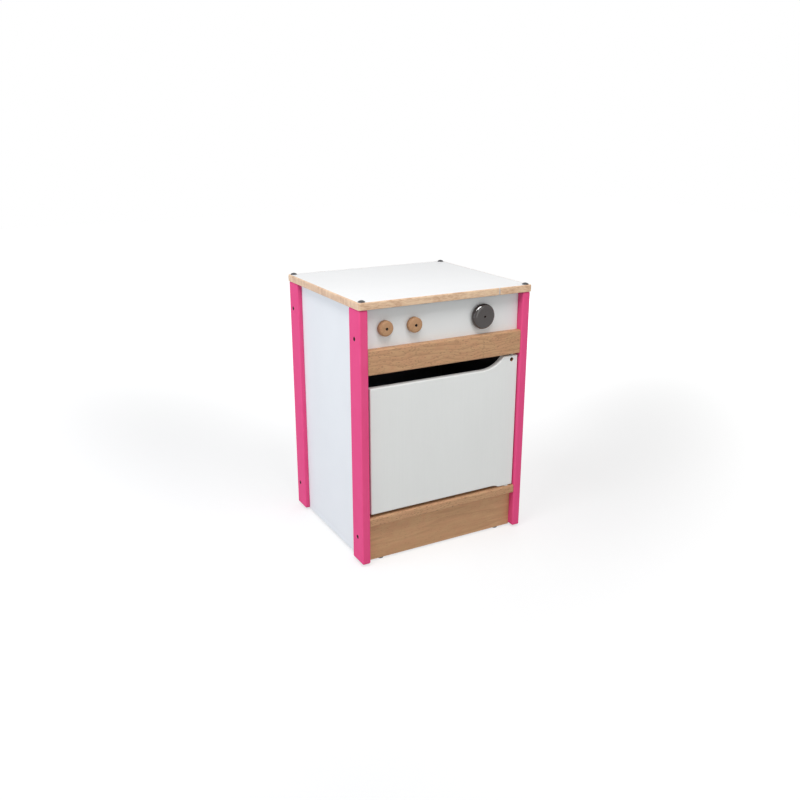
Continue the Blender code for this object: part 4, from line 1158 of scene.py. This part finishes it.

# ROOM
# A pale floor under white air, with two painted soft shadows in its glow, two square softboxes in front at
# the left, softer fills from the left, the front and the back, and the camera.

FLOOR_SIZE = 14.0
FLOOR_BOUNCE = (0.505, 0.515, 0.505, 1)
FLOOR_SHADE = (0.38, 0.38, 0.38, 1)
FLOOR_FAR = 0.85
FLOOR_NEAR = 0.601
FLOOR_FADE = 3.0
# Two soft shadow pools painted into the floor's glow: middle, turn in degrees, reach and depth of each.
PAINTED_FLOOR_SHADOWS = (
    ((0.956, 0.177, 0), 36.6, (1.66, 0.491, 1), 0.159),
    ((-0.397, 0.821, 0), -81.8, (1.26, 0.566, 1), 0.125),
)
AIR_WHITE = (1, 1, 1, 1)
AIR_LIGHT = (0.44, 0.44, 0.44, 1)
AIM = (0, 0, 0.33)
LAMPS_FOOT = (-0.527, -0.809, 0)
SOFTBOX_DIRECTION = (-0.27, -0.415, 0.866)
SOFTBOX_DISTANCE = 1.95
SOFTBOX_SIZE = 0.60
SOFTBOX_APART = 0.83
SOFTBOX_POWER = 10.2
GLINT_SIZE = 0.78
GLINT_POWER = 75
FILL_SIZE = 1.6
FILLS = (
    ("cool_fill", (-2.4, 0.1, 0.75), 25.9, (0.78, 0.86, 1.0), True),
    ("front_fill", (0.5, -2.6, 0.75), 9.9, (0.94, 0.985, 0.965), True),
    ("back_fill", (2.0, 1.9, 0.9), 16, (1, 1, 1), False),
)
CAMERA_PLACE = (-0.9413, -1.6997, 0.9589)
CAMERA_TURN = (71.51, 0, -28.569)
CAMERA_LENS = 37.5
CAMERA_SENSOR = 36


def seen_directly(tree):
    """One for rays from the camera, and for those that gloss or glass sends on."""
    path = add_node(tree, "LightPath")
    glossy = add_node(tree, "Math", {0: path.outputs["Is Camera Ray"], 1: path.outputs["Is Glossy Ray"]},
                      operation="MAXIMUM")
    return add_node(tree, "Math", {0: glossy.outputs[0], 1: path.outputs["Is Transmission Ray"]},
                    operation="MAXIMUM").outputs[0]


def lamp(name, place, size, power, colour=(1, 1, 1), mirrored=True, gloss_of=None):
    """A square lamp aimed at the unit. One given a piece shows in the gloss of that piece only."""
    light = bpy.data.lights.new(name, "AREA")
    light.shape = "SQUARE"
    light.size = size
    light.energy = power
    light.color = colour
    made = bpy.data.objects.new(name, light)
    made.location = place
    made.rotation_euler = (Vector(AIM) - Vector(place)).to_track_quat("-Z", "Y").to_euler()
    made.visible_camera = False
    made.visible_glossy = mirrored
    if gloss_of:
        made.visible_diffuse = False
        lit = bpy.data.collections.new(name + "_lights")
        lit.objects.link(gloss_of)
        made.light_linking.receiver_collection = lit
    bpy.context.scene.collection.objects.link(made)


shape = bmesh.new()
bmesh.ops.create_grid(shape, x_segments=1, y_segments=1, size=FLOOR_SIZE / 2)
floor = add_object("floor", shape)
floor_paint = bpy.data.materials.new("floor_paint")
floor_paint.use_nodes = True
tree = floor_paint.node_tree
tree.nodes.clear()
shade = add_node(tree, "BsdfDiffuse", {"Color": FLOOR_SHADE})
place = add_node(tree, "TexCoord").outputs["Object"]
from_lamps = add_node(tree, "VectorMath", {0: place, 1: LAMPS_FOOT}, operation="DISTANCE").outputs["Value"]
brightness = spread(tree, from_lamps, FLOOR_NEAR, FLOOR_FAR, 0, FLOOR_FADE)
# Take the painted shadow pools out of the floor's glow.
for middle, turn, reach, depth in PAINTED_FLOOR_SHADOWS:
    pool = {"Vector": place, "Location": middle, "Rotation": (0, 0, math.radians(turn)), "Scale": reach}
    across = add_node(tree, "Mapping", pool, vector_type="TEXTURE").outputs["Vector"]
    away = add_node(tree, "VectorMath", {0: across}, operation="LENGTH").outputs["Value"]
    painted_shadow = spread(tree, away, depth, 0, way="SMOOTHSTEP")
    brightness = add_node(tree, "Math", {0: brightness, 1: painted_shadow}, operation="SUBTRACT").outputs[0]
glow = add_node(tree, "Emission", {"Strength": brightness})
shown = add_node(tree, "AddShader", {0: shade.outputs[0], 1: glow.outputs[0]})
bounce = add_node(tree, "BsdfDiffuse", {"Color": FLOOR_BOUNCE})
either = add_node(tree, "MixShader", {0: seen_directly(tree), 1: bounce.outputs[0], 2: shown.outputs[0]})
add_node(tree, "OutputMaterial", {"Surface": either.outputs[0]})
floor.data.materials.append(floor_paint)

world = bpy.data.worlds.new("air")
bpy.context.scene.world = world
world.use_nodes = True
tree = world.node_tree
tree.nodes.clear()
light_air = add_node(tree, "Background", {"Color": AIR_LIGHT})
white_air = add_node(tree, "Background", {"Color": AIR_WHITE})
either = add_node(tree, "MixShader", {0: seen_directly(tree), 1: light_air.outputs[0],
                                      2: white_air.outputs[0]})
add_node(tree, "OutputWorld", {"Surface": either.outputs[0]})

to_lamps = Vector(SOFTBOX_DIRECTION).normalized()
beside = Vector((-to_lamps.y, to_lamps.x, 0)).normalized() * SOFTBOX_APART / 2
for name, side in SIDES.items():
    place = Vector(AIM) + to_lamps * SOFTBOX_DISTANCE + beside * side
    lamp("softbox_" + name, place, SOFTBOX_SIZE, SOFTBOX_POWER)
    lamp("dial_glint_" + name, place, GLINT_SIZE, GLINT_POWER, gloss_of=glossy_dial)
for name, place, power, colour, mirrored in FILLS:
    lamp(name, place, FILL_SIZE, power, colour, mirrored)

camera = bpy.data.objects.new("camera", bpy.data.cameras.new("camera"))
camera.data.lens = CAMERA_LENS
camera.data.sensor_width = CAMERA_SENSOR
camera.location = CAMERA_PLACE
camera.rotation_euler = [math.radians(angle) for angle in CAMERA_TURN]
bpy.context.scene.collection.objects.link(camera)
bpy.context.scene.camera = camera
bpy.context.scene.view_settings.view_transform = "Standard"
